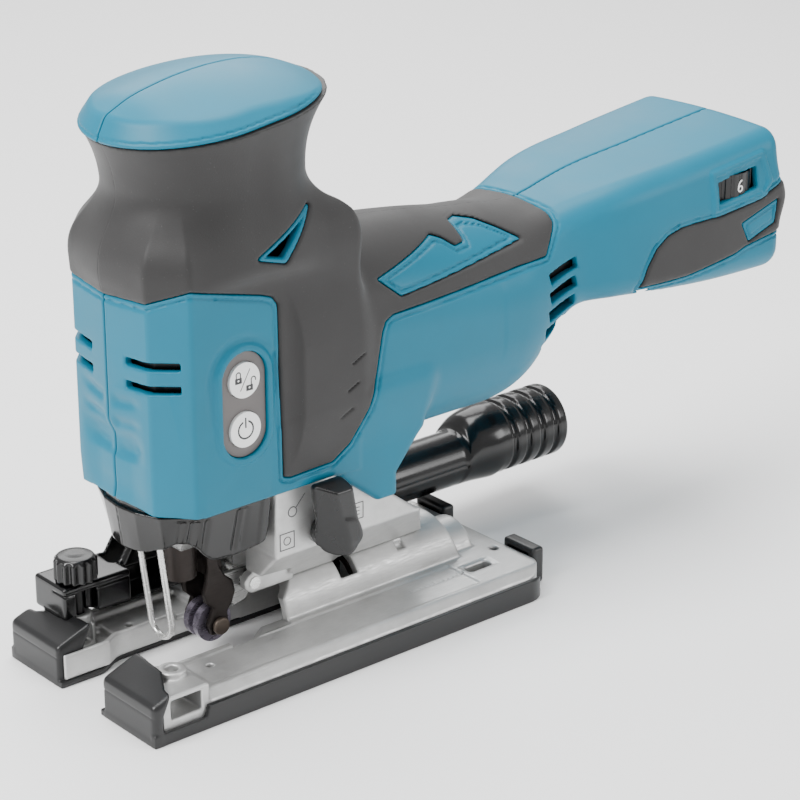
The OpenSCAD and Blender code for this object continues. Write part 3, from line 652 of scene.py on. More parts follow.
def build_shells():
    """The teal shells, grip rubber and side strips, from one field for both sides."""
    g = Grid((-26, -38, 46), (236, 1.5, 185), PITCH)
    body, rim = sculpted_body(g, True)
    body_right, _ = sculpted_body(g, False)
    d_rubber = side_distance(g, RUBBER) - 0.6
    d_wing = side_distance(g, WING) - 0.3
    d_inlet = side_distance(g, INLET) - 0.6
    d_strip = side_distance(g, STRIP) - 0.4
    d_badge = side_distance(g, BADGE) - 0.2
    # Teal areas let into the rubber count as outside it
    in_rubber = np.maximum(np.maximum(d_rubber, -d_wing), -d_inlet)
    in_strip = np.maximum(d_strip, -d_badge)
    outside = np.minimum(in_rubber, in_strip)
    openings = slots(g)
    bay = np.maximum(np.maximum(168 - g.x, np.abs(g.y) - 29.5), np.abs(g.z - 90) - 16)
    plan = [(-19.2, 0), (-17.9, -17.4), (-11.0, -25.2), (60.5, -25.2), (60.5, 5), (-19.2, 5)]
    mouth = outline_distance(g.x[:, :, 0], g.y[:, :, 0], plan)[:, :, None]
    mouth = np.maximum(mouth, g.z - 72)
    shelf = np.maximum(np.abs(g.z - 107.3) - 1.25, np.maximum(166 - g.x, g.x - 229))
    screws = screw_distance(g)
    wells = np.maximum(screws - 3.4, g.y + 8)
    for left, tail in SIDES:
        skin = body if left else body_right
        shell = np.maximum(skin, -(skin + WALL))
        shell = np.minimum(shell, np.maximum(shelf, skin + 1))
        shell = carve(shell, mouth)
        shell = carve(shell, bay)
        # Seat of the rubber
        seat = np.maximum(-(skin + RUBBER_T), outside - 0.12)
        shell = carve(shell, seat, 0.5)
        # Fine groove that runs beside every rubber edge
        groove = np.maximum(np.abs(outside - 1.5) - 0.3, -(skin + 0.6))
        shell = carve(shell, groove, 0.4)
        shell = carve(shell, openings, 0.5)
        inlet_hole = np.maximum(d_inlet + 1.5, g.y + 12)
        shell = carve(shell, inlet_hole, 0.5)
        # Seat of the switch panel
        shell = carve(shell, np.maximum(rim - 0.25, 25.7 - np.abs(g.y)), 0.4)
        if not left:
            shell = carve(shell, np.maximum(wells, -(skin + 2.7)), 0.4)
        if left:
            window = side_distance(g, WINDOW)
            shell = carve(shell, np.maximum(window, g.y + 10), 0.6)
        shell = smooth_max(shell, g.y + 0.2, 0.5)
        shell_piece("housing_shell_" + tail, g, shell, left, TEAL,
                    ["housing_" + tail], 185000)
    # Black sheet behind the cooling slots: painted shade standing in for the dark, empty housing
    # interior seen through them
    shade_sheet = np.maximum(body + WALL + 0.6, -(body + WALL + 1.8))
    shaded_slot_area = np.maximum(np.abs(g.x - 136) - 13, np.abs(g.z - 94) - 20)
    shaded_slot_area = np.minimum(shaded_slot_area, np.maximum(g.x + 9, np.abs(g.z - 106.5) - 9))
    shade_sheet = np.maximum(np.maximum(shade_sheet, shaded_slot_area), g.y)
    for left, tail in SIDES:
        # Each side gets its own painted shade sheet, black
        shell_piece("slot_shade_sheet_" + tail, g, shade_sheet, left, BLACK, (), 20000)
    proud = body - 0.22
    grip = smooth_max(proud, in_rubber + 0.12, 1.0)
    grip = np.maximum(grip, -(body + RUBBER_T))
    rim_z = 173.0 + CROWN_SLOPE * (g.x - NOSE_X)
    grip = smooth_max(grip, g.z - rim_z, 0.6)
    grip = np.maximum(grip, g.y - PITCH)
    # Short engraved creases where the palm bends the grip
    for x, z in ((47.0, 99.5), (45.0, 91.0), (42.5, 83.0)):
        u = (g.x - x) + 0.9 * (g.z - z)
        v = (g.z - z) - 0.5 * (g.x - x)
        cut = np.maximum(np.abs(v) - 0.25, np.abs(u) - 3.4)
        grip = carve(grip, np.maximum(cut, -(body + 0.45)), 0.5)
    strip = smooth_max(body - 0.35, in_strip + 0.12, 0.9)
    strip = np.maximum(strip, -(body + RUBBER_T))
    strip = np.maximum(strip, g.x - (REAR_X + 2.2))
    grip_right = smooth_max(grip, -wells, 0.4)
    heads = np.maximum(screws - 3.0, np.maximum(body_right + 1.3, -(body_right + 3.2)))
    heads = np.maximum(heads, g.y + 8)
    heads = carve(heads, np.maximum(screws - 1.5, -(body_right + 2.6)))
    shell_piece("screw_heads", g, heads, False, DARK_STEEL, ["housing_screws"], 30000)
    for left, tail in SIDES:
        shell_piece("grip_cover_" + tail, g, grip if left else grip_right, left,
                    RUBBER_GREY,
                    ["grip_rubber_" + tail], 120000)
        shell_piece("side_strip_" + tail, g, strip, left, RUBBER_GREY,
                    ["rear_bumper_" + tail], 40000)


build_shells()


# ------------------------------ crown of the knob

def build_crown():
    g = Grid((-26, -34, 165), (54, 1.5, 192), 0.45)
    across = np.maximum(np.abs(g.x - KNOB_X) - 5.0, 0)
    radius = length(across, g.y)
    rim_z = 173.2 + CROWN_SLOPE * (g.x - NOSE_X)
    above = g.z - rim_z
    # The side leans in, more at the front than behind
    lean = 0.55 + 0.4 * (g.y / 30.0) ** 2
    side = (radius + lean * np.maximum(above - 1.5, 0) - 31.9) / np.sqrt(1 + lean * lean)
    top = curve_value(g.x,
                      [(-26, 178.4), (-19, 181.6), (-12, 184.8), (-4, 187.0), (6, 188.9),
                       (16, 189.9),
                            (27, 189.9), (38, 188.2), (54, 182.0)])
    top = top - 6.6 * np.abs(g.y / 30.0) ** 1.7
    crown = smooth_max(side, (g.z - top) / 1.05, 0.9)
    lip = length(across, g.y) - 31.9
    crown = carve(crown, above, 1.4)
    groove = np.maximum(np.abs(above - 1.75) - 0.22, -(side + 0.45))
    crown = carve(crown, groove, 0.35)
    crown = np.maximum(crown, lip)
    crown = smooth_max(crown, g.y + 0.2, 0.45)
    for left, tail in SIDES:
        shell_piece("crown_" + tail, g, crown, left, TEAL, ["knob_cap_" + tail],
                    70000)


build_crown()


# ------------------------------ base casting and sole cover

FINE = 0.42


def box_field(g, x0, x1, y0, y1, z0, z1, r=0.0):
    """Distance to a block with edges rounded by r."""
    qx = np.abs(g.x - (x0 + x1) / 2) - (x1 - x0) / 2 + r
    qy = np.abs(g.y - (y0 + y1) / 2) - (y1 - y0) / 2 + r
    qz = np.abs(g.z - (z0 + z1) / 2) - (z1 - z0) / 2 + r
    far = np.sqrt(np.maximum(qx, 0) ** 2 + np.maximum(qy, 0) ** 2 + np.maximum(qz, 0) ** 2)
    return far + np.minimum(np.maximum(np.maximum(qx, qy), qz), 0) - r


def rod_field(g, axis, a, b, u, v, r):
    """Distance to a round rod along an axis; u and v are the two other coordinates in order."""
    along, first, second = {"x": (g.x, g.y, g.z), "y": (g.y, g.x, g.z), "z": (g.z, g.x, g.y)}[axis]
    side = np.sqrt((first - u) ** 2 + (second - v) ** 2) - r
    return np.maximum(side, np.abs(along - (a + b) / 2) - (b - a) / 2)


def segment(u, v, a, b, half):
    """Distance to a short line drawn with a pen of the given half width."""
    ex = b[0] - a[0]
    ey = b[1] - a[1]
    t = np.clip(((u - a[0]) * ex + (v - a[1]) * ey) / (ex * ex + ey * ey), 0, 1)
    return np.sqrt((u - a[0] - ex * t) ** 2 + (v - a[1] - ey * t) ** 2) - half


def ring(u, v, r, half):
    return np.abs(length(u, v) - r) - half


BASE_HALF = 37.0
AXIS_Z = 10.0  # height of the line that the base tilts about
BOSS_X = -21.6  # round bosses in front; the far one takes the thumb screw
BOSS_Y = 25
BOLT_X = 58
PIN_X, PIN_Z = 20.5, 26
LEVER_X, LEVER_Z = 37, 44.6
TUBE_Y, TUBE_Z = 27, 24.3
RULER_Y = 22.5  # slots for the scale at the rear of the base
CAP_PLAN = [(-40, 11.5), (-28.5, 11.5), (-29.4, 26), (-33.0, 33.5), (-34.2, 41), (-40, 41)]


def slot_distance(g, grow):
    near = 9.5 + grow
    wide = 13.8 + grow
    half = near + (wide - near) * step01(g.x, -24, -13)
    end = 21 + grow
    # The blind end of the slot is round
    corner = np.maximum(np.abs(g.y) - (wide - 7), 0)
    reach = g.x - (end - 7)
    round_end = np.sqrt(np.maximum(reach, 0) ** 2 + corner**2) - 7
    return np.maximum(np.maximum(np.abs(g.y) - half, g.x - end),
                      np.where(reach > 0, round_end, -50.0))


def cap_solid(g):
    """Slanted caps in front of both runners."""
    y = np.abs(g.y)
    plan = outline_distance(g.x[:, :, 0], y[:, :, 0], CAP_PLAN)[:, :, None]
    # The rear edge of a cap leans back near the top
    plan = plan - 0.45 * np.maximum(g.z - 9.5, 0)
    top = (g.z - (13.2 + 0.36 * (g.x + 38.0))) * 0.94
    cap = smooth_max(plan, top, 1.2)
    cap = smooth_max(cap, -38.0 - g.x, 1.6)
    cap = smooth_max(cap, y - 39.0, 2.2)
    cap = smooth_max(cap, 12.0 - y, 1.2)
    return np.maximum(cap, -g.z)


def build_base():
    g = Grid((-38, -39, 1), (124, 39, 26), FINE)
    y = np.abs(g.y)
    slab = smooth_max(y - BASE_HALF, g.z - 10.5, 0.8)
    chamfer = (y + g.z - (BASE_HALF + 7.6)) * 0.7071
    slab = smooth_max(slab, chamfer, 0.6)
    slab = np.maximum(slab, 2.05 - g.z)
    slab = smooth_max(slab, g.x - 122.0, 1.0)
    rear_corner = np.sqrt(np.maximum(g.x - 113, 0) ** 2 + np.maximum(y - 28, 0) ** 2) - 9
    slab = np.maximum(slab, np.where((g.x > 113) & (y > 28), rear_corner, -50.0))
    slab = np.maximum(slab, -36.2 - g.x)
    # A shallow pan on both runners, and a deeper one beside the blade on the far side
    pan = box_field(g, -12, 96, 16.5, 32.2, 9.6, 14, 0.4)
    pan_near = box_field(g, -12, 96, -32.2, -16.5, 9.95, 14, 0.4)
    slab = carve(slab, np.minimum(pan, pan_near), 0.8)
    trough = box_field(g, -14, 18, 15.5, 30.0, 7.2, 14, 1.0)
    slab = carve(slab, trough, 1.6)
    saddle = length(g.y, g.z - AXIS_Z) - 14.0
    saddle = smooth_max(saddle, 31.0 - g.x, 0.5)
    saddle = smooth_max(saddle, g.x - 104.0 + 0.25 * (g.z - 10), 1.2)
    tail = length(g.y, g.z - 7.0) - 11.2
    tail = smooth_max(tail, g.x - 112.5, 1.2)
    tail = np.maximum(tail, 100 - g.x)
    solid = smooth_min(slab, saddle, 1.2)
    solid = smooth_min(solid, tail, 1.0)
    # Front blocks with the fence windows and bosses
    for side in (-1, 1):
        block = box_field(g, -34.6, -16.2, side * 32 - 5, side * 32 + 5, 2.05, 14.0, 0.9)
        slant = (27.0 - side * g.y) * 0.8 + (g.z - 13.0) * 0.6
        block = smooth_max(block, slant, 0.8)
        solid = smooth_min(solid, block, 0.9)
        boss = rod_field(g, "z", 2.05, 16.0, BOSS_X, side * BOSS_Y, 4.3)
        step = rod_field(g, "z", 2.05, 12.6, BOSS_X, side * BOSS_Y, 6.4)
        solid = smooth_min(solid, smooth_min(boss, step, 0.6), 0.7)
    slot = slot_distance(g, 0.0)
    # The slot's blind end is countersunk
    dish = slot_distance(g, 0.0) - 1.1 * np.maximum(g.z - 7.6, 0)
    solid = carve(solid, np.maximum(dish, 8 - g.x), 0.7)
    solid = carve(solid, slot, 0.8)
    solid = carve(solid, np.maximum(length(g.y, g.z - AXIS_Z) - 11.0, g.x - 104))
    solid = carve(solid, np.maximum(np.abs(g.y) - 11.0, np.maximum(g.x - 104, g.z - 10)))
    front_room = box_field(g, 18, 31, -16, 16, 10.0, 40, 0.5)
    solid = carve(solid, front_room)
    along = box_field(g, BOLT_X - 25.5, BOLT_X + 3.5, -3.4, 3.4, 11, 40, 0.2)
    across = np.maximum(np.abs(g.x - BOLT_X) - 3.4,
                        np.maximum(-(g.y + g.z - 5.5) * 0.7071, g.y - 3.4))
    across = np.maximum(across, 11.0 - g.z)
    solid = carve(solid, np.minimum(along, across), 0.4)
    for side in (-1, 1):
        window = box_field(g, -30.5, -19.5, side * 30 - 14, side * 30 + 14, 6.4, 12.6, 0.4)
        solid = carve(solid, window, 0.5)
        solid = carve(solid, rod_field(g, "z", 12, 40, BOSS_X, side * BOSS_Y, 2.1), 0.4)
        scale_slot = box_field(g, 99, 109, side * RULER_Y - 2, side * RULER_Y + 2, -5, 30, 1.6)
        scale_rim = box_field(g, 97.4, 110.6, side * RULER_Y - 3.4, side * RULER_Y + 3.4, 10.1, 30,
                              1.2)
        solid = carve(solid, np.minimum(scale_slot, scale_rim), 0.5)
        hole = rod_field(g, "z", -5, 30, 117, side * 16, 1.5)
        pin = rod_field(g, "z", -5, 30, -5, side * 21.5, 1.25)
        solid = carve(solid, np.minimum(hole, pin), 0.4)
        # Engraved scale beside the rear slot
        line = box_field(g, 74, 97, side * 23.4 - 0.22, side * 23.4 + 0.22, 9.75, 30)
        solid = carve(solid, line)
        for i in range(12):
            x = 75 + i * 2.0
            long = 1.7 if i % 5 == 0 else 1.0
            mark = box_field(g, x - 0.22, x + 0.22, side * 23.4 - long * 0.1, side * 23.4 + long,
                             9.75, 30)
            solid = carve(solid, mark)
    # Scooped pocket in front of the far boss, with a rim along the blade slot
    pocket = box_field(g, -33.4, -12.5, 12.4, 27.0, 4.6, 30, 1.2)
    pocket = smooth_max(pocket, 1.9 - slot_distance(g, 0.0), 0.6)
    pocket = smooth_max(pocket, 5.2 - length(g.x - BOSS_X, g.y - BOSS_Y), 0.6)
    solid = carve(solid, pocket, 0.8)
    solid = np.maximum(solid, -(cap_solid(g) - 0.12))
    # Half-round notch where the bevel scale is read
    notch = rod_field(g, "x", 79.6, 82.6, -9.6, 20.4, 1.6)
    solid = carve(solid, notch, 0.4)
    net_piece("base_casting", g, solid, "base", ALLOY, ["base_plate"], 190000)


def build_sole_cover():
    g = Grid((-40, -41, -1.5), (129, 41, 18), FINE)
    y = np.abs(g.y)
    plate = np.maximum(np.abs(g.z - 1.0) - 1.0, y - 39)
    lip_top = 3.9 + 3.7 * step01(g.x, -19.2, -17.6)
    lip = np.maximum(np.abs(y - 38.05) - 0.95, g.z - lip_top)
    lip = carve(lip, g.z)
    skirt = np.minimum(plate, lip)
    skirt = np.maximum(skirt, np.maximum(-38.0 - g.x, g.x - 122))
    rear_corner = np.sqrt(np.maximum(g.x - 113, 0) ** 2 + np.maximum(y - 30, 0) ** 2) - 9
    skirt = np.maximum(skirt, np.where((g.x > 113) & (y > 30), rear_corner, -50.0))
    skirt = smooth_min(skirt, cap_solid(g), 0.5)
    cut = slot_distance(g, 0.8)
    skirt = carve(skirt, cut, 0.5)
    skirt = carve(skirt, box_field(g, 20, 104, -11, 11, -5, 10))
    for side in (-1, 1):
        skirt = carve(skirt,
                      box_field(g, 99, 109, side * RULER_Y - 2, side * RULER_Y + 2, -5, 9, 1.5))
        skirt = carve(skirt, rod_field(g, "z", -5, 9, 117, side * 16, 1.5))
        hook = box_field(g, 121.9, 127, side * RULER_Y - 7.5, side * RULER_Y + 7.5, 0, 13, 1.2)
        hook = carve(hook,
                     box_field(g, 120, 124.2, side * RULER_Y - 5, side * RULER_Y + 5, 5, 10.8,
                               0.5), 0.5)
        skirt = np.minimum(skirt, hook)
    # Fine parting line round the caps
    line = np.maximum(np.abs(g.z - 9.6) - 0.2, g.x + 37.55)
    skirt = carve(skirt, line, 0.2)
    net_piece("sole_skin", g, skirt, "base", SOLE_GREY, ["sole_cover"], 120000)


build_base()
build_sole_cover()


# ------------------------------ gear housing

FOOT = [(34.6, 22.2), (91.6, 21.7), (76.6, 39.2), (20.0, 39.2), (20.0, 30.2), (33.2, 28.6)]
PLATE = [(20.0, 38.8), (76.4, 38.8), (65.2, 47.6), (60.2, 50.4), (40, 66), (38, 103.4),
         (19.2, 103.4),
         (19.2, 66), (20.0, 59)]


def build_gear_housing():
    g = Grid((14, -26, 18), (96, 26, 106), 0.5)
    y = np.abs(g.y)
    plate = side_distance(g, PLATE) - 0.5
    plate = smooth_max(plate, y - 24.4, 1.4)
    foot = side_distance(g, FOOT) - 0.5
    slope = (y * 0.72 - (g.z - 22.0) * 0.694 - 8.0 * 0.72)
    foot = smooth_max(foot, slope, 0.6)
    foot = smooth_max(foot, y - 24.4, 0.8)
    solid = smooth_min(plate, foot, 0.4)
    # Arm with the lug for the retainer pin
    arm_side = np.sqrt(np.maximum(PIN_X - g.x, 0) ** 2 + (g.z - PIN_Z) ** 2) - 3.5
    arm_side = np.maximum(arm_side, g.x - 36)
    arm = smooth_max(arm_side, np.abs(y - 9.5) - 1.7, 0.6)
    solid = smooth_min(solid, arm, 0.5)
    # Room for the plunger, the bolt, the lever shaft and the motor
    room = rod_field(g, "x", 10, 30, 0, 69.5, 23)
    solid = carve(solid, room)
    solid = carve(solid, box_field(g, 0, 30, -9, 9, 69, 110))
    solid = np.maximum(solid, -(length(g.y, g.z - AXIS_Z) - 14.3))
    solid = carve(solid, box_field(g, 0, 28, -7.8, 7.8, 0, 44, 0.3))
    solid = carve(solid, rod_field(g, "z", 0, 37, BOLT_X, 0, 2.7))
    solid = carve(solid, rod_field(g, "y", -30, -17, LEVER_X, LEVER_Z, 3.2))
    solid = carve(solid, rod_field(g, "x", 20, 50, 0, 69.5, 4.1))
    solid = carve(solid, rod_field(g, "x", 20, 50, 0, 95, 9.5))
    # Half-round notch above the bolt
    notch = rod_field(g, "y", -12, -6, BOLT_X, 22.2, 2.9)
    solid = carve(solid, np.maximum(notch, g.y + 7.6), 0.5)
    net_piece("gear_case", g, solid, "tool", ALLOY, ["gear_housing"], 190000)


build_gear_housing()


def setting_signs(u, v):
    """Signs round the orbital lever: a square, a dot with a pointer, rows of teeth."""
    def box_line(cx, cz, half):
        return np.abs(np.maximum(np.abs(u - cx), np.abs(v - cz)) - half) - 0.17
    signs = box_line(-13.6, -0.6, 2.7)
    signs = np.minimum(signs, ring(u + 13.6, v + 0.6, 1.3, 0.17))
    signs = np.minimum(signs, ring(u + 11.4, v - 8.6, 1.6, 0.2))
    signs = np.minimum(signs, segment(u, v, (-10.0, 9.8), (-6.6, 13.4), 0.17))
    signs = np.minimum(signs, box_line(13.8, 1.4, 2.7))
    for k in range(3):
        signs = np.minimum(signs, segment(u, v, (12.6, 0.2 + 1.2 * k), (15.0, 0.2 + 1.2 * k), 0.15))
    return np.minimum(signs, ring(u - 10.6, v - 10.4, 1.2, 0.3))


def build_signs():
    # The engraved signs are drawn as a thin layer of darker grey on the alloy face: painted shade
    # in place of the grooves' own shade
    g = Grid((18, -24.9, 38), (56, -24.0, 61), 0.15)
    signs = setting_signs(g.x - LEVER_X, g.z - LEVER_Z)
    slab = np.abs(g.y + 24.42) - 0.16
    net_piece("setting_signs", g, np.maximum(signs, slab), "tool", SIGN_SHADE_GREY, (),
              40000)


# ------------------------------ dust cover

COVER_EDGE = [(-23, 46.6), (-19.5, 46.8), (-15.5, 49.0), (-11.5, 50.8), (-8, 49.6), (-4.6, 46.0),
              (-1.6, 43.4),
              (4, 42.4), (9, 42.4), (14, 43.8), (19, 46.0)]
COVER_PLAN = [(-21.8, 0), (-20.8, 8), (-17.6, 16.2), (-7.4, 23.7), (19, 23.7), (19, -5),
              (-21.8, -5)]


def groove_wave(x, places, width):
    """Sum of soft dents at the given places."""
    dent = 0
    for place, depth in places:
        dent = dent + depth * np.exp(-((x - place) / width) ** 2)
    return dent


def build_dust_cover():
    g = Grid((-24, -27, 40), (20, 27, 73), 0.36)
    y = np.abs(g.y)
    outer = outline_distance(g.x[:, :, 0], y[:, :, 0], COVER_PLAN)[:, :, None] - 0.5
    below = np.clip(61.0 - g.z, 0, 20)
    outer = outer + (0.13 + 0.13 * step01(y, 3, 17)) * below * (1 - 0.3 * step01(g.x, 8, 16))
    # The top part is narrower and runs inside the housing
    outer = outer + 1.5 * step01(g.z, 60.6, 61.4)
    flutes = groove_wave(g.x, [(-12.6, 0.5), (-9.4, 0.9), (-5.6, 0.55), (6.4, 0.7), (9.0, 0.3)],
                         0.95)
    outer = outer + flutes * step01(y, 13, 17) * (1 - step01(g.z, 58.6, 60.0)) * step01(g.z, 43, 47)
    outer = outer - 0.5 * step01(g.x, 14.0, 14.8) * step01(y, 20, 22)
    wall = np.maximum(outer, -(outer + 1.6))
    cover = smooth_max(wall, curve_value(g.x, COVER_EDGE) - g.z, 0.8)
    cover = np.maximum(cover, np.maximum(g.z - 71, g.x - 17.7))
    seam = np.maximum(np.abs(g.y) - 0.16, np.maximum(-(outer + 0.35), g.x))
    cover = carve(cover, seam)
    net_piece("smoky_cover", g, cover, "dust_cover", SMOKY, ["dust_cover"], 150000)
    g = Grid((-11, -23, 44), (20, 23, 132), 0.5)
    y = np.abs(g.y)
    block = smooth_max(box_field(g, -9, 18, -21.5, 21.5, 46, 130, 1.0),
                       y - 13.5 - 0.5 * (g.z - 46), 0.8)
    room = smooth_max(box_field(g, -7, 24, -19, 19, 48.5, 90, 1.0), y - 11.3 - 0.5 * (g.z - 46),
                      0.5)
    room = np.minimum(room, box_field(g, 2, 24, -19, 19, 84, 106, 0.5))
    way = np.minimum(rod_field(g, "z", 40, 140, 0, 0, 7), rod_field(g, "z", 40, 60, 0, 0, 9))
    block = carve(block, np.minimum(room, way), 0.5)
    net_piece("plunger_frame_body", g, block, "tool", ALLOY_DARK, ["plunger_frame"],
              60000)
    g = Grid((-18, -7, 40), (-5, 7, 53), 0.35)
    holder = box_field(g, -15.5, -6.2, -4.6, 4.6, 43.6, 50.5, 2.6)
    net_piece("guard_holder", g, holder, "tool", BLACK, (), 20000)


build_dust_cover()


# ------------------------------ fork that holds the guide roller

FORK = [(6.2, 38), (9.8, 38), (10.3, 32.5), (12.2, 29.4), (15.4, 26.6), (16.2, 23.0), (14.9, 19.4),
        (12.9, 16.8),
        (13.4, 12.6), (10.6, 9.6), (7.2, 10.4), (6.2, 13.8), (7.6, 17.0), (8.4, 19.0), (5.6, 21.6),
        (4.9, 24.6),
        (6.2, 28.8), (6.6, 32.8)]
FORK_REAR = [(13.0, 29.5), (23.6, 29.0), (24.0, 23.0), (20.5, 18.6), (16.0, 17.6), (13.6, 20.5)]


def build_fork():
    g = Grid((2, -10, 7), (27, 10, 42), 0.3)
    y = np.abs(g.y)
    plate = smooth_max(side_distance(g, FORK) - 0.3, np.abs(y - 5.5) - 1.1, 0.6)
    web = box_field(g, 9.6, 12.8, -5.2, 5.2, 27.5, 38, 0.8)
    fork = smooth_min(plate, web, 0.8)
    fork = carve(fork, rod_field(g, "y", -12, 12, 10, 13, 2.25))
    net_piece("roller_fork", g, fork, "retainer", DARK_STEEL, ["roller_retainer"],
              50000)
    rear = smooth_max(side_distance(g, FORK_REAR) - 0.3, np.abs(y - 5.3) - 0.8, 0.5)
    bridge = box_field(g, 13.4, 16.4, -5.0, 5.0, 19, 29, 0.8)
    rear = smooth_min(rear, bridge, 0.8)
    rear = carve(rear, rod_field(g, "y", -12, 12, PIN_X, PIN_Z, 2.1))
    net_piece("fork_mount", g, rear, "retainer", ALLOY_DARK, (), 40000)
    head = smooth_max(length(g.x - 10, g.z - 13) - 2.9, np.abs(y - 7.4) - 0.9, 0.7)
    net_piece("roller_pin_heads", g, head, "retainer", BROWN_STEEL, (), 20000)


build_fork()


# ------------------------------ orbital lever

def build_lever():
    g = Grid((24, -38, 36), (46, -16, 66), 0.32)
    u = g.x - LEVER_X
    v = g.z - LEVER_Z
    hub = length(u, v) - 6.2
    hub = smooth_max(hub, np.abs(g.y + 32.8) - 3.8, 1.6)
    arm = side_distance(g, [(32.2, 44.6), (42.0, 44.6), (38.8, 61.9), (29.8, 61.9)]) - 1.4
    arm = smooth_max(arm, np.abs(g.y + 32.7) - 3.7, 1.6)
    tab = length(g.x - 31.0, g.z - 44.0) - 2.0
    tab = smooth_max(tab, np.abs(g.y + 31.5) - 2.4, 0.8)
    lever = smooth_min(smooth_min(hub, arm, 2.0), tab, 1.2)
    # The outer edge towards the front is cut back, and the tip slopes
    lever = smooth_max(lever, (-(g.x - 33.6) - (g.z - LEVER_Z) * 0.25 - (g.y + 32.6)) * 0.62, 0.5)
    lever = smooth_max(lever, (g.z - 62.4 - (g.y + 33.0) * 0.45) * 0.9, 0.6)
    neck = rod_field(g, "y", -30, -24.9, LEVER_X, LEVER_Z, 5.2)
    shaft = rod_field(g, "y", -26, -18.6, LEVER_X, LEVER_Z, 3.0)
    lever = smooth_min(lever, np.minimum(neck, shaft), 0.5)
    net_piece("orbital_handle", g, lever, "orbital_lever", BLACK,
              ["orbital_lever"], 60000)


build_lever()


# ------------------------------ dust nozzle and its thumb screw

def build_nozzle():
    g = Grid((-30, 11, 8), (182, 42, 43), 0.5)
    tube = rod_field(g, "x", 60, 148, TUBE_Y, TUBE_Z, 9.7)
    collar_side = length(g.y - 27, g.z - 27.4) - 13.0
    swell = 2.6 * (1 - step01(g.x, 134, 150))
    collar = np.maximum(collar_side + swell, 136 - g.x)
    collar = smooth_max(collar, 134 - g.x + 0.35 * (g.z - 27), 5.0)
    collar = smooth_max(collar, g.x - 179.9, 1.2)
    solid = smooth_min(tube, collar, 3.0)
    duct = box_field(g, -8, 80, 26.4, 38, 11.5, 33, 2.2)
    front = (g.z - 20.0) * 0.55 - (g.x + 8) * 0.835
    duct = smooth_max(duct, front, 2.5)
    solid = smooth_min(solid, duct, 3.0)
    arm = box_field(g, -29.2, -4, 20.4, 37.6, 16.05, 27.0, 1.1)
    tongue = box_field(g, -29.2, -26.4, 24, 33, 11.2, 18, 0.9)
    arch = box_field(g, -24.6, -17.0, 17, 24.2, 14, 24.4, 1.4)
    arm = carve(arm, arch, 0.8)
    solid = smooth_min(solid, smooth_min(arm, tongue, 0.6), 1.5)
    # Grooves round the hose collar and a weld line along the tube
    for x in (155.0, 161.5, 168.0, 174.5):
        ring = np.maximum(np.abs(g.x - x) - 0.9, -(collar_side + 1.1))
        solid = carve(solid, ring, 0.8)
    weld = np.maximum(np.abs(g.z - TUBE_Z) - 0.2, np.maximum(-(tube + 0.25), g.y - 27))
    solid = carve(solid, np.maximum(weld, g.x - 134), 0.3)
    solid = carve(solid, rod_field(g, "x", 151, 190, 27, 27.6, 10.6))
    solid = carve(solid, rod_field(g, "x", 80, 153, TUBE_Y, TUBE_Z, 7.7))
    solid = carve(solid, box_field(g, -6, 82, 28.4, 36, 13.5, 31, 0.5))
    solid = carve(solid, box_field(g, -3, 14, 20, 30, 13.5, 24, 0.8))
    solid = carve(solid, rod_field(g, "z", 8, 40, BOSS_X, BOSS_Y, 2.6))
    net_piece("nozzle_body", g, solid, "base", GLOSS_BLACK, ["dust_nozzle"],
              150000)
    g = Grid((-30, 17, 11), (-13, 33, 37.5), 0.25)
    dx = g.x - BOSS_X
    dy = g.y - BOSS_Y
    turn = np.arctan2(dy, dx)
    flute = 0.55 * np.cos(turn * 14)
    flute = flute * (1 - step01(g.z, 33.9, 35.3))
    head = length(dx, dy) - 6.45 - flute * 0.9
    head = smooth_max(head, g.z - 36.0 + 0.015 * (dx**2 + dy**2), 1.4)
    head = smooth_max(head, 27.5 - g.z, 0.8)
    collar = rod_field(g, "z", 27.15, 29.0, BOSS_X, BOSS_Y, 4.6)
    dimple = (np.sqrt(dx**2 + dy**2 + (g.z - 44.6) ** 2) - 9.0)
    head = smooth_max(np.minimum(head, collar), -dimple, 0.8)
    shank = rod_field(g, "z", 12.8, 28.5, BOSS_X, BOSS_Y, 2.05)
    net_piece("thumb_screw", g, smooth_min(head, shank, 0.3), "nozzle_screw",
              BLACK,
                ["nozzle_screw"], 60000)


build_nozzle()


# ------------------------------ symbols on the buttons, number on the dial

def padlock(u, v, opened):
    shackle = ring(u, v - 0.75, 0.62, 0.17)
    legs = np.maximum(np.abs(np.abs(u) - 0.62) - 0.17, np.abs(v - 0.3) - 0.5)
    if opened:
        shackle = ring(u - 1.15, v - 1.15, 0.62, 0.17)
        shackle = np.maximum(shackle, 1.1 - v)
        legs = np.maximum(np.abs(u - 0.53) - 0.17, np.abs(v - 0.6) - 0.7)
        far = np.maximum(np.abs(u - 1.77) - 0.17, np.abs(v - 1.0) - 0.3)
        legs = np.minimum(legs, far)
    else:
        shackle = np.maximum(shackle, 0.7 - v)
    case = np.maximum(np.abs(u) - 1.0, np.abs(v + 0.75) - 0.75)
    key = np.sqrt(u**2 + (v + 0.7) ** 2) - 0.26
    case = carve(case, key)
    return np.minimum(np.minimum(shackle, legs), case)


def ink_mark(name, draw, x, z, face, side, body):
    """A thin printed mark on a sideways face, the right way round from outside."""
    low = min(side * (face - 0.3), side * (face + 0.3))
    g = Grid((x - 5, low, z - 5), (x + 5, low + 0.6, z + 5), 0.1)
    u = (g.x - x) * -side
    v = g.z - z
    slab = np.abs(g.y - side * face) - 0.07
    field = np.maximum(draw(u, v), slab)
    net_piece(name, g, field, body, INK, (), 20000)


def lock_marks(u, v):
    closed = padlock((u + 2.3) / 1.25, (v - 1.2) / 1.25, False)
    opened = padlock((u - 1.7) / 1.25, (v + 1.7) / 1.25, True)
    slash = segment(u, v, (-1.6, -3.0), (1.9, 3.2), 0.16)
    return np.minimum(np.minimum(closed, opened), slash)


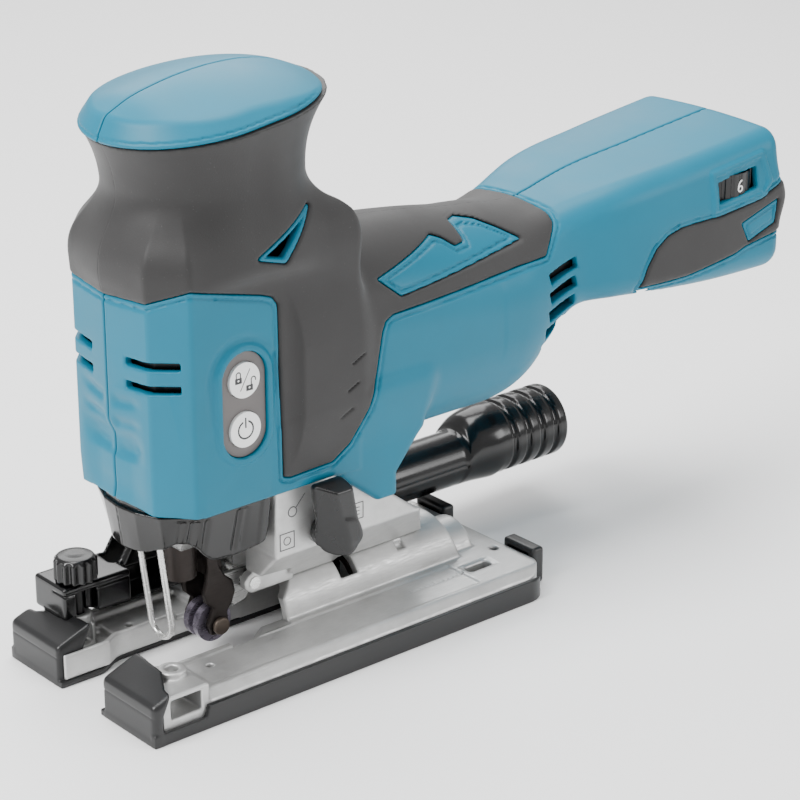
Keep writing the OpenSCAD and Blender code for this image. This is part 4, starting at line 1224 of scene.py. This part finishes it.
def power_marks(u, v):
    round_part = ring(u, v, 2.7, 0.3)
    round_part = np.maximum(round_part, -(np.maximum(np.abs(u) - 0.9, -v)))
    return np.minimum(round_part, segment(u, v, (0, 0.8), (0, 3.6), 0.3))


def build_marks():
    for side, tail in ((-1, "left"), (1, "right")):
        for kind, draw in (("lock", lock_marks), ("power", power_marks)):
            low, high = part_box(kind + "_button_" + tail)
            x = (low[0] + high[0]) / 2 / MM
            z = (low[2] + high[2]) / 2 / MM
            face = (high[1] if side > 0 else -low[1]) / MM
            ink_mark(kind + "_mark_" + tail, draw, x, z, face, side, kind + "_button_" + tail[0])
    low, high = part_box("speed_dial")
    x = (low[0] + high[0]) / 2 / MM
    y = (low[1] + high[1]) / 2 / MM
    z = (low[2] + high[2]) / 2 / MM
    r = (high[0] - low[0]) / 2 / MM
    g = Grid((x - 2.5, y - r - 0.6, z - 3), (x + 2.5, y - r + 1.2, z + 3), 0.12)
    u = g.x - x
    v = g.z - z
    bowl = ring(u, v + 0.75, 0.95, 0.28)
    stem = ring(u - 1.35, v + 0.1, 2.3, 0.28)
    stem = np.maximum(stem, np.maximum(u - 0.7, -(v + 0.5)))
    wheel = length(g.x - x, g.y - y)
    six = np.maximum(np.minimum(bowl, stem), np.abs(wheel - r + 0.1) - 0.2)
    net_piece("dial_number", g, six, "speed_dial", WHITE, (), 8000)


build_marks()
build_signs()


# ------------------------------ CAD parts that keep their shape

SLOT_MATERIAL = {
    "housing_plastic": TEAL, "grip_rubber": RUBBER_GREY, "panel_grey": PANEL_GREY,
    "button_white": WHITE, "black_plastic": BLACK, "sole_plastic": SOLE_GREY,
    "smoky_plastic": SMOKY, "cast_alloy": ALLOY, "bright_steel": STEEL,
    "dark_steel": DARK_STEEL, "roller_steel": ROLLER, "bronze": BRONZE,
    "motor_windings": WINDINGS, "circuit_board": BOARD, "terminal_plastic": CONTACTS,
    "lens": LENS,
}


def dress_cad_parts():
    for row in frame["record"]["subparts"]:
        part = frame["nodes"][row["node"]]
        material = SLOT_MATERIAL[row["material_slot"]]
        if len(part.material_slots) == 0:
            part.data.materials.append(material)
        for slot in part.material_slots:
            slot.material = material
        if not part.hide_render:
            add_bevel(part, 0.25, 2)


dress_cad_parts()


# ------------------------------ floor and light

def studio():
    mesh = bpy.data.meshes.new("floor")
    size = 4.0
    mesh.from_pydata([(-size, -size, 0), (size, -size, 0), (size, size, 0), (-size, size, 0)], [],
                     [(0, 1, 2, 3)])
    floor = link(bpy.data.objects.new("floor", mesh))
    paper = new_material("paper", (0.93, 0.93, 0.93), 0.9, specular=0.1)
    fibre = noise(paper, 220.0, 4.0)
    bumps(paper, [(fibre, "Fac", 0.05, 0.0002)])
    floor.data.materials.append(paper)
    world = bpy.data.worlds.new("studio")
    world.use_nodes = True
    world.node_tree.nodes["Background"].inputs["Color"].default_value = (1.0, 1.0, 1.0, 1.0)
    world.node_tree.nodes["Background"].inputs["Strength"].default_value = 0.75
    bpy.context.scene.world = world
    centre = Vector((0.09, 0.0, 0.09))
    for name, place, width, power in (
            ("key", (-0.75, 0.05, 0.85), 0.5, 15.0),
            ("top", (0.15, 0.1, 1.15), 0.7, 14.0),
            ("side", (0.75, -0.95, 0.5), 0.4, 4.0),
            ("back", (0.6, 0.9, 0.9), 0.8, 8.0)):
        data = bpy.data.lights.new(name, "AREA")
        data.shape = "SQUARE"
        data.size = width
        data.energy = power
        lamp = link(bpy.data.objects.new(name, data))
        lamp.location = place
        lamp.rotation_euler = (centre - Vector(place)).to_track_quat("-Z", "Y").to_euler()


studio()
